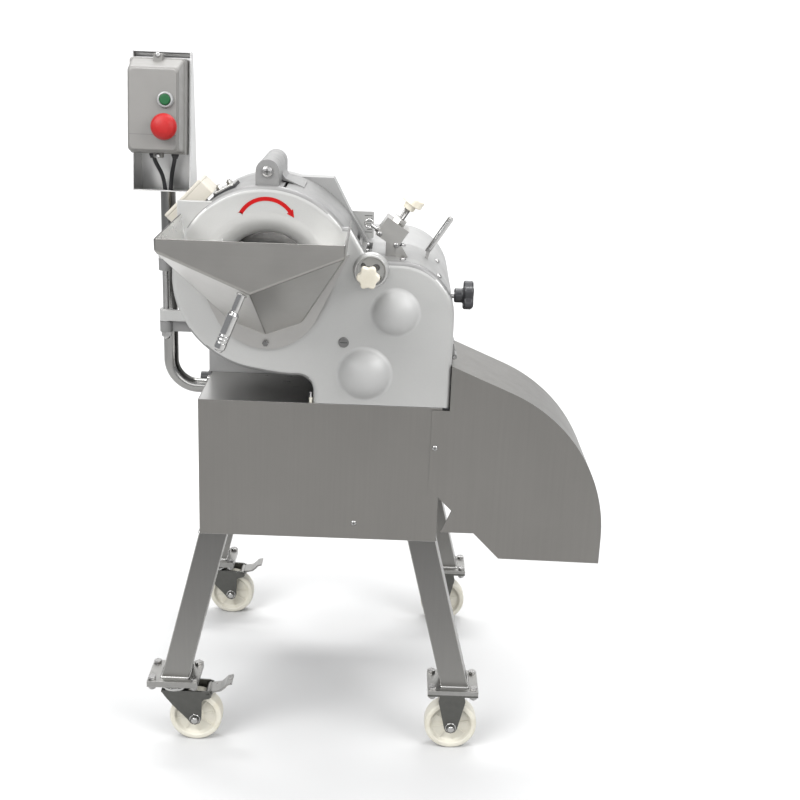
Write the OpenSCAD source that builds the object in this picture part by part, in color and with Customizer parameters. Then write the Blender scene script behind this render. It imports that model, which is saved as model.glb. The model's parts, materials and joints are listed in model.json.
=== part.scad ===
/* [Cabinet] */
// Width of the base cabinet, left to right
cab_w = 426; // [380:1:460]
// Depth of the base cabinet, front to back
cab_d = 575; // [560:1:600]
// Height of the cabinet underside above the floor
cab_z = 440; // [430:1:450]
// Height of the cabinet top above the floor
cab_top = 694; // [690:1:700]
// Sheet thickness of the cabinet
sheet = 2.5; // [1.5:0.5:4]

/* [Legs and casters] */
// Width of the square leg tube
leg_w = 50; // [40:1:60]
// Wall of the square leg tube
leg_t = 3; // [2:0.5:5]
// Radius of a caster wheel
wheel_r = 50; // [45:1:52]
// Width of a caster wheel tread
wheel_w = 32; // [26:1:34]
// Radius of the caster axle bolts
axle_r = 5; // [4:0.5:7]
// Trail of the swivel casters
trail = 39; // [35:1:42]
// Half spacing of the caster bolts, left to right
bolt_x = 39; // [36:1:40]
// Half spacing of the caster bolts, front to back
bolt_y = 30; // [26:1:32]

/* [Cutting drum] */
// Outer radius of the feed drum
drum_r = 160; // [156:1:164]
// Wall of the feed drum
drum_t = 7; // [5:0.5:8]
// Depth of the cutting chamber behind the door face
head_y = 168; // [160:1:176]
// Radius of the feed opening in the door
mouth_r = 78; // [70:1:84]
// Thickness of the door plate
door_t = 10; // [8:0.5:10]
// Radius of the impeller over its paddles
imp_r = 149; // [140:1:151]

/* [Knives and gears] */
// Radius of the grooved feed roller
feed_r = 40; // [36:1:42]
// Radius of the circular knives
disc_r = 45; // [42:1:45]
// Radius of the cross-cut knives
cross_r = 48; // [44:1:49]
// Pitch of the circular knives, the strip width
strip = 10; // [8:1:14]
// Gear module
gear_m = 2.5; // [2.5:0.5:2.5]
// Teeth on the feed roller gear
za = 36; // [36:1:36]
// Teeth on the circular knife gear
ze = 30; // [30:1:30]
// Teeth on the cross-cut gear
zb = 46; // [46:1:46]
// Backlash between meshing teeth
backlash = 0.5; // [0.3:0.1:0.8]

/* [Drive] */
// Outer radius of the large impeller pulley
pul_main = 120; // [110:1:124]
// Outer radius of the cross-cut pulley
pul_cross = 50; // [46:1:54]
// Outer radius of the motor pulley
pul_motor = 42; // [38:1:46]
// Radius of the motor body
motor_r = 68; // [60:1:72]

/* [Hopper] */
// Half width of the hopper mouth
hop_w = 142; // [136:1:146]
// Reach of the hopper in front of the door
hop_y = 235; // [220:1:245]
// Sheet thickness of the hopper
hop_t = 2; // [1.5:0.5:3]

/* [Control stand] */
// Outer radius of the stand pipe
pole_r = 13.3; // [12:0.1:14]
// Wall of the stand pipe
pole_t = 2; // [1.5:0.5:3]
// Tilt of the control box face
tilt = 7; // [5:1:9]
// Bore radius of the supply cable gland
gland_bore = 6; // [5:0.5:7]

/* [Hidden] */
$fn = 64;
ox = 32.15;
oy = -175;
cx0 = -331;
cx1 = cx0 + cab_w;
dx = -213;
dz = 908;
foot_l = -385;
foot_r = 142;
foot_f = 30;
foot_b = cab_d - 30;
ax = 6.8;
az = 863;
bxx = -43;
bz = 754.5;
ra = gear_m * za / 2;
re = gear_m * ze / 2;
rb = gear_m * zb / 2;
dae = ra + re;
deb = re + rb;
dab = sqrt((ax - bxx) * (ax - bxx) + (az - bz) * (az - bz));
tab = (dae * dae - deb * deb + dab * dab) / (2 * dab);
hab = sqrt(dae * dae - tab * tab);
uax = (bxx - ax) / dab;
uaz = (bz - az) / dab;
ex = ax + tab * uax - hab * uaz;
ez = az + tab * uaz + hab * uax;
phi_ae = atan2(ez - az, ex - ax);
phi_eb = atan2(bz - ez, bxx - ex);
off_a = phi_ae;
off_e = phi_ae + 180 + 180 / ze;
off_b = phi_eb + 180 - (off_e - phi_eb) * re / rb + 180 / zb;
mx = -130;
mz = 545;
hcx = 12.5;
hcz = 854;
hcr = 95;
hhx = 112;
hhz = 779;
pinx = -385;
piny = 14;
kx = -40.5;
kz = 930;
px = -403;
py = 150;
pz = 672;
gy = 186;
gz = 676;
ctl_x = -406;
ctl_y = 105;
ctl_z = 1036;
gpz = dz + 182;

module place() translate([ox, oy, 0]) children();
module bx(x0, x1, y0, y1, z0, z1) translate([x0, y0, z0]) cube([x1 - x0, y1 - y0, z1 - z0]);
module yext(y0, y1) translate([0, y1, 0]) rotate([90, 0, 0]) linear_extrude(height = y1 - y0) children();
module xext(x0, x1) translate([x0, 0, 0]) rotate([90, 0, 90]) linear_extrude(height = x1 - x0) children();
module ycyl(x, z, y0, y1, r) translate([x, y1, z]) rotate([90, 0, 0]) cylinder(r = r, h = y1 - y0);
module xcyl(y, z, x0, x1, r) translate([x0, y, z]) rotate([0, 90, 0]) cylinder(r = r, h = x1 - x0);
module zcyl(x, y, z0, z1, r) translate([x, y, z0]) cylinder(r = r, h = z1 - z0);
module zhex(x, y, z0, z1, af) translate([x, y, z0]) rotate([0, 0, 30]) cylinder(r = af / sqrt(3), h = z1 - z0, $fn = 6);
module yhex(x, z, y0, y1, af) translate([x, y1, z]) rotate([90, 0, 0]) cylinder(r = af / sqrt(3), h = y1 - y0, $fn = 6);
module xhex(y, z, x0, x1, af) translate([x0, y, z]) rotate([0, 90, 0]) cylinder(r = af / sqrt(3), h = x1 - x0, $fn = 6);
// solid of revolution about a line along Y; profile points are [radius, -Y]
module yrev(x, z) translate([x, 0, z]) rotate([90, 0, 0]) rotate_extrude() children();
// frame on the drum at angle a: X outward, Z along the rim
module polar(a) translate([dx, 0, dz]) rotate([0, -a, 0]) children();
module clampf() translate([-3.5, 0, 990]) rotate([0, 33, 0]) children();
module loc() translate([ctl_x, ctl_y, ctl_z]) rotate([-tilt, 0, 0]) children();
module star2(r, n, lobe) union() {
  circle(r = r - lobe * 0.9);
  for (i = [0:n - 1]) rotate([0, 0, 360 * i / n]) translate([r - lobe, 0]) circle(r = lobe, $fn = 32);
}

/* ---------- base ---------- */
module base_cabinet() color([0.72, 0.72, 0.70]) place() difference() {
  bx(cx0, cx1, 0, cab_d, cab_z, cab_top);
  bx(cx0 + sheet, cx1 - sheet, sheet, cab_d - sheet, cab_z - 5, cab_top - sheet);
  bx(-118, 82, 14, 182, cab_top - 10, cab_top + 5);
  bx(-262, 0, 282, 332, cab_top - 10, cab_top + 5);
  bx(cx1 - 5, cx1 + 5, 4, 186, 548, cab_top - 6);
  xcyl(py, pz, cx0 - 5, cx0 + 8, pole_r + 0.05);
  xcyl(gy, gz, cx0 - 5, cx0 + 8, 10.05);
  bx(-285, 49, cab_d - 5, cab_d + 5, 480, 655);
}
module cabinet_floor() color([0.6, 0.6, 0.6]) place() {
  bx(cx0 + sheet + 0.2, cx1 - sheet - 0.2, sheet + 0.2, cab_d - sheet - 0.2, cab_z, cab_z + 4);
  difference() {
    union() {
      bx(-225, -35, 332, 530, 456, 462);
      for (x = [-215, -45], y = [345, 517]) zcyl(x, y, cab_z + 4, 456, 9);
    }
  }
}
module rear_panel() color([0.72, 0.72, 0.70]) place() difference() {
  bx(-300, 64, cab_d, cab_d + 2, 465, 670);
  for (i = [0:7]) bx(-60, 20, cab_d - 5, cab_d + 5, 500 + 16 * i, 505 + 16 * i);
}
module leg(xt, xb, y) {
  w = leg_w * 1.03;
  difference() {
    yext(y - leg_w / 2, y + leg_w / 2)
      polygon([[xt - w / 2, cab_z], [xt + w / 2, cab_z], [xb + w / 2, 138], [xb - w / 2, 138]]);
    yext(y - leg_w / 2 + leg_t, y + leg_w / 2 - leg_t)
      polygon([[xt - w / 2 + leg_t, cab_z + 0.5], [xt + w / 2 - leg_t, cab_z + 0.5], [xb + w / 2 - leg_t, 138], [xb - w / 2 + leg_t, 138]]);
  }
}
module foot(x, y) difference() {
  bx(x - 47.5, x + 47.5, y - 40, y + 40, 130, 138);
  for (i = [-1, 1], j = [-1, 1]) zcyl(x + i * bolt_x, y + j * bolt_y, 120, 150, 4.2);
}
module legs() color([0.7, 0.7, 0.68]) place() {
  leg(-307, -382, foot_f);
  leg(-307, -382, foot_b);
  leg(69, 145, foot_f);
  leg(69, 145, foot_b);
}
module foot_plates() color([0.7, 0.7, 0.68]) place() for (x = [foot_l, foot_r], y = [foot_f, foot_b]) foot(x, y);
module caster_bolts() color([0.6, 0.6, 0.6]) place() for (x = [foot_l, foot_r], y = [foot_f, foot_b], i = [-1, 1], j = [-1, 1]) {
  union() {
    zcyl(x + i * bolt_x, y + j * bolt_y, 117, 138.5, 4);
    zhex(x + i * bolt_x, y + j * bolt_y, 138, 143.5, 13);
  }
  difference() {
    zhex(x + i * bolt_x, y + j * bolt_y, 119.5, 126, 13);
    zcyl(x + i * bolt_x, y + j * bolt_y, 110, 130, 4.03);
  }
}
module top_plate(x, y) difference() {
  bx(x - 47.5, x + 47.5, y - 40, y + 40, 126, 130);
  for (i = [-1, 1], j = [-1, 1]) zcyl(x + i * bolt_x, y + j * bolt_y, 120, 150, 4.2);
}
module swivel_plates() color([0.68, 0.68, 0.66]) place() for (y = [foot_f, foot_b]) union() {
  top_plate(foot_l, y);
  zcyl(foot_l, y, 118, 126.5, 27);
  zcyl(foot_l, y, 100, 120, 6);
  zcyl(foot_l, y, 99, 105.6, 10);
}
module swivel_fork(y) {
  x = foot_l;
  difference() {
    union() {
      bx(x - 24, x + 27, y - 24, y + 24, 106, 110);
      zcyl(x, y, 109, 117.6, 27);
      for (s = [-1, 1]) yext(y + s * 22 - 2, y + s * 22 + 2)
        polygon([[x - 24, 110], [x + 27, 110], [x + 62, 109], [x + 70, 106], [x + 70.5, 98], [x + 66, 94.5], [x + trail + 17, 92], [x + trail + 13.5, 88], [x + trail + 12, 50], [x + trail + 8.5, 41], [x + trail, 37.5], [x + trail - 8.5, 41], [x + trail - 14, 49], [x - 2, 78], [x - 14, 93], [x - 21, 103]]);
    }
    zcyl(x, y, 100, 130, 6.06);
    ycyl(x + trail, wheel_r, y - 30, y + 30, axle_r + 0.02);
    ycyl(x + 64, 102, y - 30, y + 30, 3.02);
  }
  axle(x + trail, y);
  ycyl(x + 64, 102, y - 25.5, y + 25.5, 3);
}
module axle(x, y) union() {
  ycyl(x, wheel_r, y - 29, y + 29, axle_r);
  yhex(x, wheel_r, y - 30, y - 24.05, 15);
  yhex(x, wheel_r, y + 24.05, y + 30, 15);
}
module front_left_fork() color([0.68, 0.68, 0.66]) place() swivel_fork(foot_f);
module rear_left_fork() color([0.68, 0.68, 0.66]) place() swivel_fork(foot_b);
module fixed_forks() color([0.68, 0.68, 0.66]) place() for (y = [foot_f, foot_b]) {
  difference() {
    union() {
      top_plate(foot_r, y);
      for (s = [-1, 1]) yext(y + s * 22 - 2, y + s * 22 + 2)
        polygon([[foot_r - 22, 126.5], [foot_r + 22, 126.5], [foot_r + 25.5, 106], [foot_r + 12.5, 48], [foot_r + 8.5, 40.5], [foot_r, 37.5], [foot_r - 8.5, 40.5], [foot_r - 12.5, 48], [foot_r - 25.5, 106]]);
    }
    ycyl(foot_r, wheel_r, y - 30, y + 30, axle_r + 0.02);
  }
  axle(foot_r, y);
}
module wheel(x, y) translate([0, y, 0]) yrev(x, wheel_r) polygon([
  [axle_r + 0.06, -19], [13, -19], [14, -9], [36, -8], [40, -wheel_w / 2], [wheel_r - 3, -wheel_w / 2],
  [wheel_r, -wheel_w / 2 + 3], [wheel_r, wheel_w / 2 - 3], [wheel_r - 3, wheel_w / 2], [40, wheel_w / 2],
  [36, 8], [14, 9], [13, 19], [axle_r + 0.06, 19]]);
module front_left_wheel() color([0.9, 0.88, 0.82]) place() wheel(foot_l + trail, foot_f);
module rear_left_wheel() color([0.9, 0.88, 0.82]) place() wheel(foot_l + trail, foot_b);
module front_right_wheel() color([0.9, 0.88, 0.82]) place() wheel(foot_r, foot_f);
module rear_right_wheel() color([0.9, 0.88, 0.82]) place() wheel(foot_r, foot_b);
module brake(y) {
  x = foot_l;
  difference() {
    union() {
      ycyl(x + 64, 102, y - 18, y + 18, 5.5);
      yext(y - 17, y + 17) polygon([[x + 61, 105], [x + 70, 108], [x + 86, 111], [x + 93, 117], [x + 98, 123.5], [x + 108, 126], [x + 109, 123], [x + 100.5, 120.5], [x + 96, 114.5], [x + 88.5, 108], [x + 74, 104], [x + 70, 96.5], [x + 67, 93.3], [x + 65.5, 98]]);
    }
    ycyl(x + 64, 102, y - 30, y + 30, 3.06);
  }
}
module front_left_brake() color([0.7, 0.7, 0.68]) place() brake(foot_f);
module rear_left_brake() color([0.7, 0.7, 0.68]) place() brake(foot_b);

/* ---------- discharge ---------- */
chx = 102.3;
chz = 459.5;
chr = 289.4;
module chute_fill() {
  intersection() {
    translate([chx, chz]) circle(r = chr, $fn = 128);
    polygon([[chx, chz], [chx + 600 * cos(67.3), chz + 600 * sin(67.3)], [chx + 700, chz + 700], [chx + 600, chz]]);
  }
  polygon([[77, 545], [77, 690], [107.8, 690], [107.8, 771], [chx + chr * cos(67.3), chz + chr * sin(67.3)], [chx + chr, chz], [chx + chr, 409], [209.6, 411.5]]);
}
module chute_band() {
  n = [cos(67.3), sin(67.3)];
  e = [chx + chr * n[0], chz + chr * n[1]];
  polygon([[107.8, 771], e, e - 2 * n, [107.8, 768.8]]);
  intersection() {
    difference() {
      translate([chx, chz]) circle(r = chr, $fn = 128);
      translate([chx, chz]) circle(r = chr - 2, $fn = 128);
    }
    polygon([[chx, chz], [chx + 600 * cos(67.3), chz + 600 * sin(67.3)], [chx + 700, chz + 700], [chx + 600, chz]]);
  }
  polygon([[chx + chr - 2, chz], [chx + chr, chz], [chx + chr, 409], [chx + chr - 2, 409]]);
  polygon([[97, 524.7], [209.6, 411.5], [212.4, 411.5], [97, 527.6]]);
}
module discharge_chute() color([0.7, 0.7, 0.68]) place() union() {
  yext(-2, 0) chute_fill();
  yext(-2, 190) chute_band();
  intersection() {
    yext(188, 190) chute_fill();
    bx(97, 500, 180, 200, 300, 800);
  }
  difference() {
    union() {
      ycyl(hhx, hhz, 62, 118, 5);
      yext(62, 118) polygon([[109.5, 765], [113.5, 765], [114, 779], [110, 779]]);
    }
    ycyl(hhx, hhz, 50, 130, 3.02);
  }
}
module discharge_slide() color([0.7, 0.7, 0.68]) place() union() {
  yext(6, 186) polygon([[-122, 660], [-122, 657.5], [91, 556.5], [91, 559]]);
  yext(6, 186) polygon([[-122, 657.5], [-119.5, 657.5], [-119.5, cab_top - sheet], [-122, cab_top - sheet]]);
}

/* ---------- head ---------- */
module head2(t) {
  translate([dx, dz]) circle(r = drum_r - t, $fn = 128);
  translate([hcx, hcz]) circle(r = hcr - t);
  polygon([[-336 + t, cab_top - (t > 0 ? 9 : 0)], [107.5 - t, cab_top - (t > 0 ? 9 : 0)], [107.5 - t, hcz], [hcx, hcz], [hcx, hcz + hcr - t],
    [-45 - t * 0.5, hcz + hcr - t], [-80 - t, 1003 - t * 0.5], [-111 - t * 0.5, 1062 - t], [dx, 1062 - t], [dx, dz], [-336 + t, 815]]);
}
module case2(t) {
  translate([dx, dz]) circle(r = drum_r - 26 - t, $fn = 128);
  translate([hcx, hcz]) circle(r = hcr - t);
  polygon([[-336 + t, cab_top - (t > 0 ? 9 : 0)], [107.5 - t, cab_top - (t > 0 ? 9 : 0)], [107.5 - t, hcz], [hcx, hcz], [hcx, hcz + hcr - t],
    [-60, hcz + hcr - t], [-100, 955 - t], [dx, dz], [-336 + t, 815 - t]]);
}
module rear_housing() color([0.68, 0.68, 0.66]) place() difference() {
  union() {
    difference() {
      union() {
        yext(head_y, 202) head2(0);
        yext(200, 366) case2(0);
      }
      yext(head_y + 12, 370) case2(6);
    }
    ycyl(kx, kz, 16, head_y + 2, 8.5);
    for (p = [[-323, 712], [95, 712], [-289, 1005], [-138, 1003], [66, 917]]) ycyl(p[0], p[1], 330, 366, 9);
  }
  ycyl(dx, dz, head_y - 5, head_y + 20, 31.02);
  for (p = [[ax, az], [ex, ez], [bxx, bz]]) ycyl(p[0], p[1], head_y - 5, head_y + 20, 23.52);
  ycyl(kx, kz, 10, 60, 6);
}
module rear_cover() color([0.68, 0.68, 0.66]) place() difference() {
  yext(366, 370) case2(0);
  for (i = [0:5]) bx(-30, 70, 360, 380, 740 + 16 * i, 745 + 16 * i);
}
module gearbox_plate() color([0.6, 0.6, 0.6]) place() {
  difference() {
    yext(226, 236) polygon([[-268, 850], [-268, 1005], [-140, 1000], [-98, 945], [-20, 930], [60, 915], [92, 860], [92, 708], [-132, 708]]);
    ycyl(dx, dz, 220, 240, 31.02);
    for (p = [[ax, az], [ex, ez], [bxx, bz]]) ycyl(p[0], p[1], 220, 240, 23.52);
  }
  for (p = [[-255, 985], [-255, 862], [-152, 988], [60, 905], [82, 718], [-122, 718]]) ycyl(p[0], p[1], head_y + 12, 226, 8);
}
module ring(x, z, y0, y1, ro, ri) difference() {
  ycyl(x, z, y0, y1, ro);
  ycyl(x, z, y0 - 1, y1 + 1, ri);
}
module shaft_bearings() color([0.75, 0.75, 0.75]) place() for (y = [head_y + 0.5, 226.5]) {
  ring(dx, dz, y, y + 9, 31, 15.05);
  for (p = [[ax, az], [ex, ez], [bxx, bz]]) ring(p[0], p[1], y, y + 9, 23.5, 10.05);
}
module sector2(a0, a1) polygon([[dx, dz], [dx + 400 * cos(a0), dz + 400 * sin(a0)], [dx + 400 * cos((a0 + a1) / 2), dz + 400 * sin((a0 + a1) / 2)], [dx + 400 * cos(a1), dz + 400 * sin(a1)]]);
module ring2() difference() {
  translate([dx, dz]) circle(r = drum_r, $fn = 128);
  translate([dx, dz]) circle(r = drum_r - drum_t, $fn = 128);
}
module lug2() {
  translate([dx, gpz]) circle(r = 19.5);
  polygon([[dx - 19.5, gpz], [dx - 19.5, dz + drum_r - 4], [dx + 19.5, dz + drum_r - 4], [dx + 19.5, gpz]]);
}
module drum_shell() color([0.72, 0.72, 0.70]) place() difference() {
  union() {
    difference() {
      union() {
        yext(door_t + 0.5, head_y) ring2();
        yext(11, 60) lug2();
        yext(130.6, head_y) lug2();
        for (z = [[811, 829.6], [918, 937.6]]) {
          zcyl(pinx, piny, z[0], z[1], 11);
          bx(pinx, z[0] < 900 ? -342 : -368, 12, 24, z[0], z[1]);
        }
      }
      yext(0, head_y + 2) sector2(16, 80.5);
      ycyl(dx, dz, 0, head_y + 2, drum_r - drum_t);
    }
    yext(11, 60) difference() {
      lug2();
      translate([dx, dz]) circle(r = drum_r - 1, $fn = 128);
    }
    yext(130.6, head_y) difference() {
      lug2();
      translate([dx, dz]) circle(r = drum_r - 1, $fn = 128);
    }
  }
  ycyl(dx, gpz, 0, head_y + 2, 8.02);
  zcyl(pinx, piny, 800, 960, 5.02);
}
module slice_gate() color([0.72, 0.72, 0.70]) place() difference() {
  union() {
    yext(door_t + 1.5, head_y - 1) intersection() {
      ring2();
      sector2(22, 79);
    }
    ycyl(dx, gpz, 60.6, 130, 19.5);
    yext(60.6, 130) polygon([[dx + 5, gpz], [dx + 19.2, gpz + 1], [dx + 20.5, 1080], [dx + 26, 1072.5], [dx + 40, 1066.8], [dx + 58, 1059.3], [dx + 53, 1053], [dx + 37, 1064.5], [dx + 22, 1068.5], [dx + 8, 1074.5]]);
  }
  ycyl(dx, gpz, 50, 140, 8.06);
}
module hinge_pins() color([0.65, 0.65, 0.65]) place() {
  union() {
    ycyl(dx, gpz, 9, head_y, 8);
    ycyl(dx, gpz, 7.5, 10.9, 9);
  }
  union() {
    zcyl(pinx, piny, 800, 966, 5);
    zhex(pinx, piny, 803, 810.7, 16);
    translate([pinx, piny, 803]) sphere(r = 6.5);
    zcyl(pinx, piny, 959.5, 966, 8);
  }
  ycyl(hhx, hhz, 26, 154, 3);
}
module slicing_knife() color([0.8, 0.8, 0.8]) place() {
  polar(10) translate([drum_r + 0.1, 0, 0]) yext(14, head_y - 3) polygon([[0, -22], [3, -22], [3, 20], [0, 29]]);
  polar(10) translate([drum_r + 3.12, 0, 0]) union() {
    bx(0, 8, 14, head_y - 3, 1.5, 19);
    for (y = [35, 90, 145]) xcyl(y, 10.2, 7.5, 10.5, 4.2);
  }
}
module impeller() color([0.7, 0.7, 0.7]) place() difference() {
  union() {
    ycyl(dx, dz, 150, 158, imp_r);
    ycyl(dx, dz, 108, 152, 34);
    for (a = [30:120:270]) polar(a) bx(30, imp_r, 44, 152, -3, 3);
  }
  ycyl(dx, dz, 100, 165, 15.02);
}
module vpulley(x, z, ro, ri, y0, y1, g) difference() {
  yrev(x, z) polygon(concat([[ri, -y0], [ro, -y0]],
    [for (c = g) each [[ro, -c + 6.5], [ro - 10, -c + 4.6], [ro - 10, -c - 4.6], [ro, -c - 6.5]]],
    [[ro, -y1], [ri, -y1]]));
}
module main_shaft() color([0.65, 0.65, 0.65]) place() {
  union() {
    ycyl(dx, dz, 90, 318, 15);
    ycyl(dx, dz, 86, 107.8, 22);
    translate([dx, 88, dz]) sphere(r = 20);
  }
  vpulley(dx, dz, pul_main, 15.02, 288, 306, [297]);
}
module gear(x, z, n, off, y0, y1) {
  r = gear_m * n / 2;
  rbase = r * cos(20);
  function inv(a) = tan(a) * 180 / PI - a;
  function half(q) = 90 / n + inv(20) - inv(acos(min(1, rbase / q))) - backlash / (4 * r) * 180 / PI;
  rr = [max(rbase, r - gear_m * 1.25), r - 0.4 * gear_m, r, r + 0.5 * gear_m, r + 0.9 * gear_m];
  root = r - gear_m * 1.25;
  hr = half(rr[0]) + 0.15;
  yext(y0, y1) difference() {
    polygon([for (i = [0:n - 1]) each concat(
      [[x + root * cos(off + 360 * i / n - hr), z + root * sin(off + 360 * i / n - hr)]],
      [for (q = rr) [x + q * cos(off + 360 * i / n - half(q)), z + q * sin(off + 360 * i / n - half(q))]],
      [for (k = [4:-1:0]) [x + rr[k] * cos(off + 360 * i / n + half(rr[k])), z + rr[k] * sin(off + 360 * i / n + half(rr[k]))]],
      [[x + root * cos(off + 360 * i / n + hr), z + root * sin(off + 360 * i / n + hr)]])]);
    translate([x, z]) circle(r = 10.02);
  }
}
module feed_roller() color([0.7, 0.7, 0.7]) place() {
  union() {
    ycyl(ax, az, -7, 240, 10);
    yhex(ax, az, -7, 13, 30);
    yrev(ax, az) polygon(concat([[5, -14], [feed_r, -14]],
      [for (i = [0:12]) each [[feed_r, -(20 + i * strip)], [feed_r - 6, -(20 + i * strip)], [feed_r - 6, -(24 + i * strip)], [feed_r, -(24 + i * strip)]]],
      [[feed_r, -160], [5, -160]]));
  }
  gear(ax, az, za, off_a, 190, 206);
}
module disc_knives() color([0.8, 0.8, 0.8]) place() {
  union() {
    ycyl(ex, ez, 12, 240, 10);
    yrev(ex, ez) polygon(concat([[5, -14], [18, -14]],
      [for (i = [0:12]) each [[18, -(21 + i * strip)], [disc_r - 8, -(21 + i * strip)], [disc_r, -(22 + i * strip)], [disc_r - 8, -(23 + i * strip)], [18, -(23 + i * strip)]]],
      [[18, -160], [5, -160]]));
  }
  gear(ex, ez, ze, off_e, 190, 206);
}
module crosscut_rotor() color([0.8, 0.8, 0.8]) place() union() {
  ycyl(bxx, bz, -9, 330, 10);
  yhex(bxx, bz, -9, 13, 30);
  ycyl(bxx, bz, 14, 160, 30);
  for (a = [0:45:315]) translate([bxx, 0, bz]) rotate([0, -a, 0]) yext(16, 158)
    polygon([[20, -9], [cross_r - 6, -4], [cross_r, 3], [cross_r - 9, 4], [20, 9]]);
}
module crosscut_drive() color([0.65, 0.65, 0.65]) place() {
  gear(bxx, bz, zb, off_b, 190, 206);
  vpulley(bxx, bz, pul_cross, 10.02, 306, 324, [315]);
}

/* ---------- drive ---------- */
module motor() color([0.35, 0.38, 0.42]) place() difference() {
  union() {
    ycyl(mx, mz, 345, 530, motor_r);
    for (a = [-60:15:240]) translate([mx, 0, mz]) rotate([0, -a, 0]) bx(motor_r - 2, motor_r + 7, 372, 500, -1.5, 1.5);
    bx(mx - 70, mx + 70, 365, 505, 462, 474);
    bx(mx - 55, mx + 55, 370, 500, 470, 500);
    bx(mx + 50, mx + 105, 395, 480, mz - 30, mz + 30);
  }
  ycyl(mx, mz, 340, 400, 9.56);
}
module motor_pulley() color([0.4, 0.4, 0.4]) place() {
  ycyl(mx, mz, 284, 398, 9.5);
  vpulley(mx, mz, pul_motor, 9.52, 286, 326, [297, 315]);
}
module loop2(x1, z1, r1, x2, z2, r2) hull() {
  translate([x1, z1]) circle(r = r1, $fn = 72);
  translate([x2, z2]) circle(r = r2, $fn = 48);
}
module belt(x1, z1, r1, x2, z2, r2, y) yext(y - 4, y + 4) difference() {
  loop2(x1, z1, r1 + 0.5, x2, z2, r2 + 0.5);
  loop2(x1, z1, r1 - 7.5, x2, z2, r2 - 7.5);
}
module drive_belts() color([0.12, 0.12, 0.12]) place() {
  belt(dx, dz, pul_main, mx, mz, pul_motor, 297);
  belt(bxx, bz, pul_cross, mx, mz, pul_motor, 315);
}

/* ---------- door ---------- */
module door2() {
  translate([dx, dz]) circle(r = drum_r, $fn = 128);
  translate([hcx, hcz]) circle(r = hcr);
  translate([-37, 933]) circle(r = 30);
  polygon([[dx, 742], [-131, 742], [-131, 694.5], [107.5, 694.5], [107.5, hcz], [hcx, hcz], [hcx, hcz + hcr], [-40, hcz + hcr], [-72, 1003.5], [-110, 1003.5], [dx, dz]]);
  difference() {
    translate([-159, 714]) square([28.1, 28.1]);
    translate([-159, 714]) circle(r = 28);
  }
  polygon([[-362, 1038], [-300, 1038], [-280, 1000], [-330, 930], [-362, 950]]);
}
module cap(x, z, a, h, t) {
  rs = (a * a + h * h) / (2 * h);
  translate([x, rs - h, z]) sphere(r = rs - t, $fn = 96);
}
module front_cover() color([0.74, 0.74, 0.73]) place() difference() {
  union() {
    difference() {
      yext(0, door_t) door2();
      ycyl(dx, dz, -5, door_t + 5, 117);
    }
    yrev(dx, dz) polygon([[119, 0], [108, -1.2], [98, -5], [89, -11], [82, -20], [mouth_r, -32], [mouth_r + 5, -32], [87, -22.5], [93, -15], [101, -10], [110, -7.5], [119, -7.5]]);
    difference() {
      ycyl(-37, 933, -12, 1, 28);
      ycyl(-37, 933, -20, -5, 23.5);
    }
    difference() {
      union() {
        cap(ax, az, 40, 20, 0);
        cap(bxx, bz, 45, 24, 0);
      }
      bx(-300, 300, 2, 200, 600, 1100);
    }
    for (z = [[830, 851], [938, 957]]) {
      zcyl(pinx, piny, z[0], z[1], 11);
      bx(pinx, -345, 3, door_t, z[0], z[1]);
    }
  }
  cap(ax, az, 40, 20, 4);
  cap(bxx, bz, 45, 24, 4);
  for (z = [800, 930]) zcyl(pinx, piny, z, z + 60, 5.06);
  ycyl(kx, kz, -30, 30, 5.06);
}
module hop_front(t) polygon([[dx - hop_w + t, 1017 + t * 10], [dx - hop_w + t, 999 + t * 0.6], [dx, 939 + t * 1.1], [dx + hop_w - t, 999 + t * 0.6], [dx + hop_w - t, 1017 + t * 10]]);
module hop_rear(t) polygon([[dx - 142 + t, 1017 + t * 10], [dx - 135 + t * 1.1, 960], [dx - 62 + t * 0.7, 840 + t * 0.9], [dx, 817 + t * 1.1], [dx + 62 - t * 0.7, 840 + t * 0.9], [dx + 135 - t * 1.1, 960], [dx + 142 - t, 1017 + t * 10]]);
module hopper() color([0.72, 0.72, 0.70]) place() difference() {
  hull() {
    yext(-hop_y, -hop_y + 0.2) hop_front(0);
    yext(-6.2, -6) hop_rear(0);
  }
  hull() {
    yext(-hop_y + hop_t, -hop_y + hop_t + 0.2) hop_front(hop_t);
    yext(-6.1, -5) hop_rear(hop_t);
  }
}
module flange2() {
  translate([dx, 886]) circle(r = 95);
  polygon([[dx - 85, 843.4], [dx + 85, 843.4], [dx + 139, 957], [dx - 139, 957]]);
}
module hopper_flange() color([0.72, 0.72, 0.70]) place() difference() {
  yext(-6, 0) flange2();
  yext(-10, 5) hop_rear(hop_t);
  ycyl(dx, 801.7, -10, 5, 4.2);
}
hn = [-0.3497, -0.4505, -0.8217];
module along(p, v, s0, s1, r) translate(p + v * s0) rotate([0, acos(v[2]), atan2(v[1], v[0])]) cylinder(r = r, h = s1 - s0);
hp = [-229, -212, 929.5];
hd = [-0.372, -0.06, -0.926];
hl = sqrt(hd * hd);
module hopper_handle() color([0.8, 0.8, 0.8]) place() difference() {
  union() {
    along(hp, hd / hl, -14, 92, 6.5);
    along(hp, hd / hl, 30, 88, 9);
  }
  translate([dx, -hop_y, 939]) rotate([0, acos(hn[2]), atan2(hn[1], hn[0])]) translate([-200, -200, -99.97]) cube([400, 400, 100]);
}
module lock_knob() color([0.88, 0.86, 0.8]) place() {
  union() {
    ycyl(kx, kz, -46, 34, 5);
    ycyl(kx, kz, -9.5, -5.3, 11);
  }
  difference() {
    union() {
      yext(-52, -34) translate([kx, kz]) star2(19.3, 6, 5.2);
      ycyl(kx, kz, -34.5, -22, 10);
    }
    ycyl(kx, kz, -47, -20, 5.02);
  }
}
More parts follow.
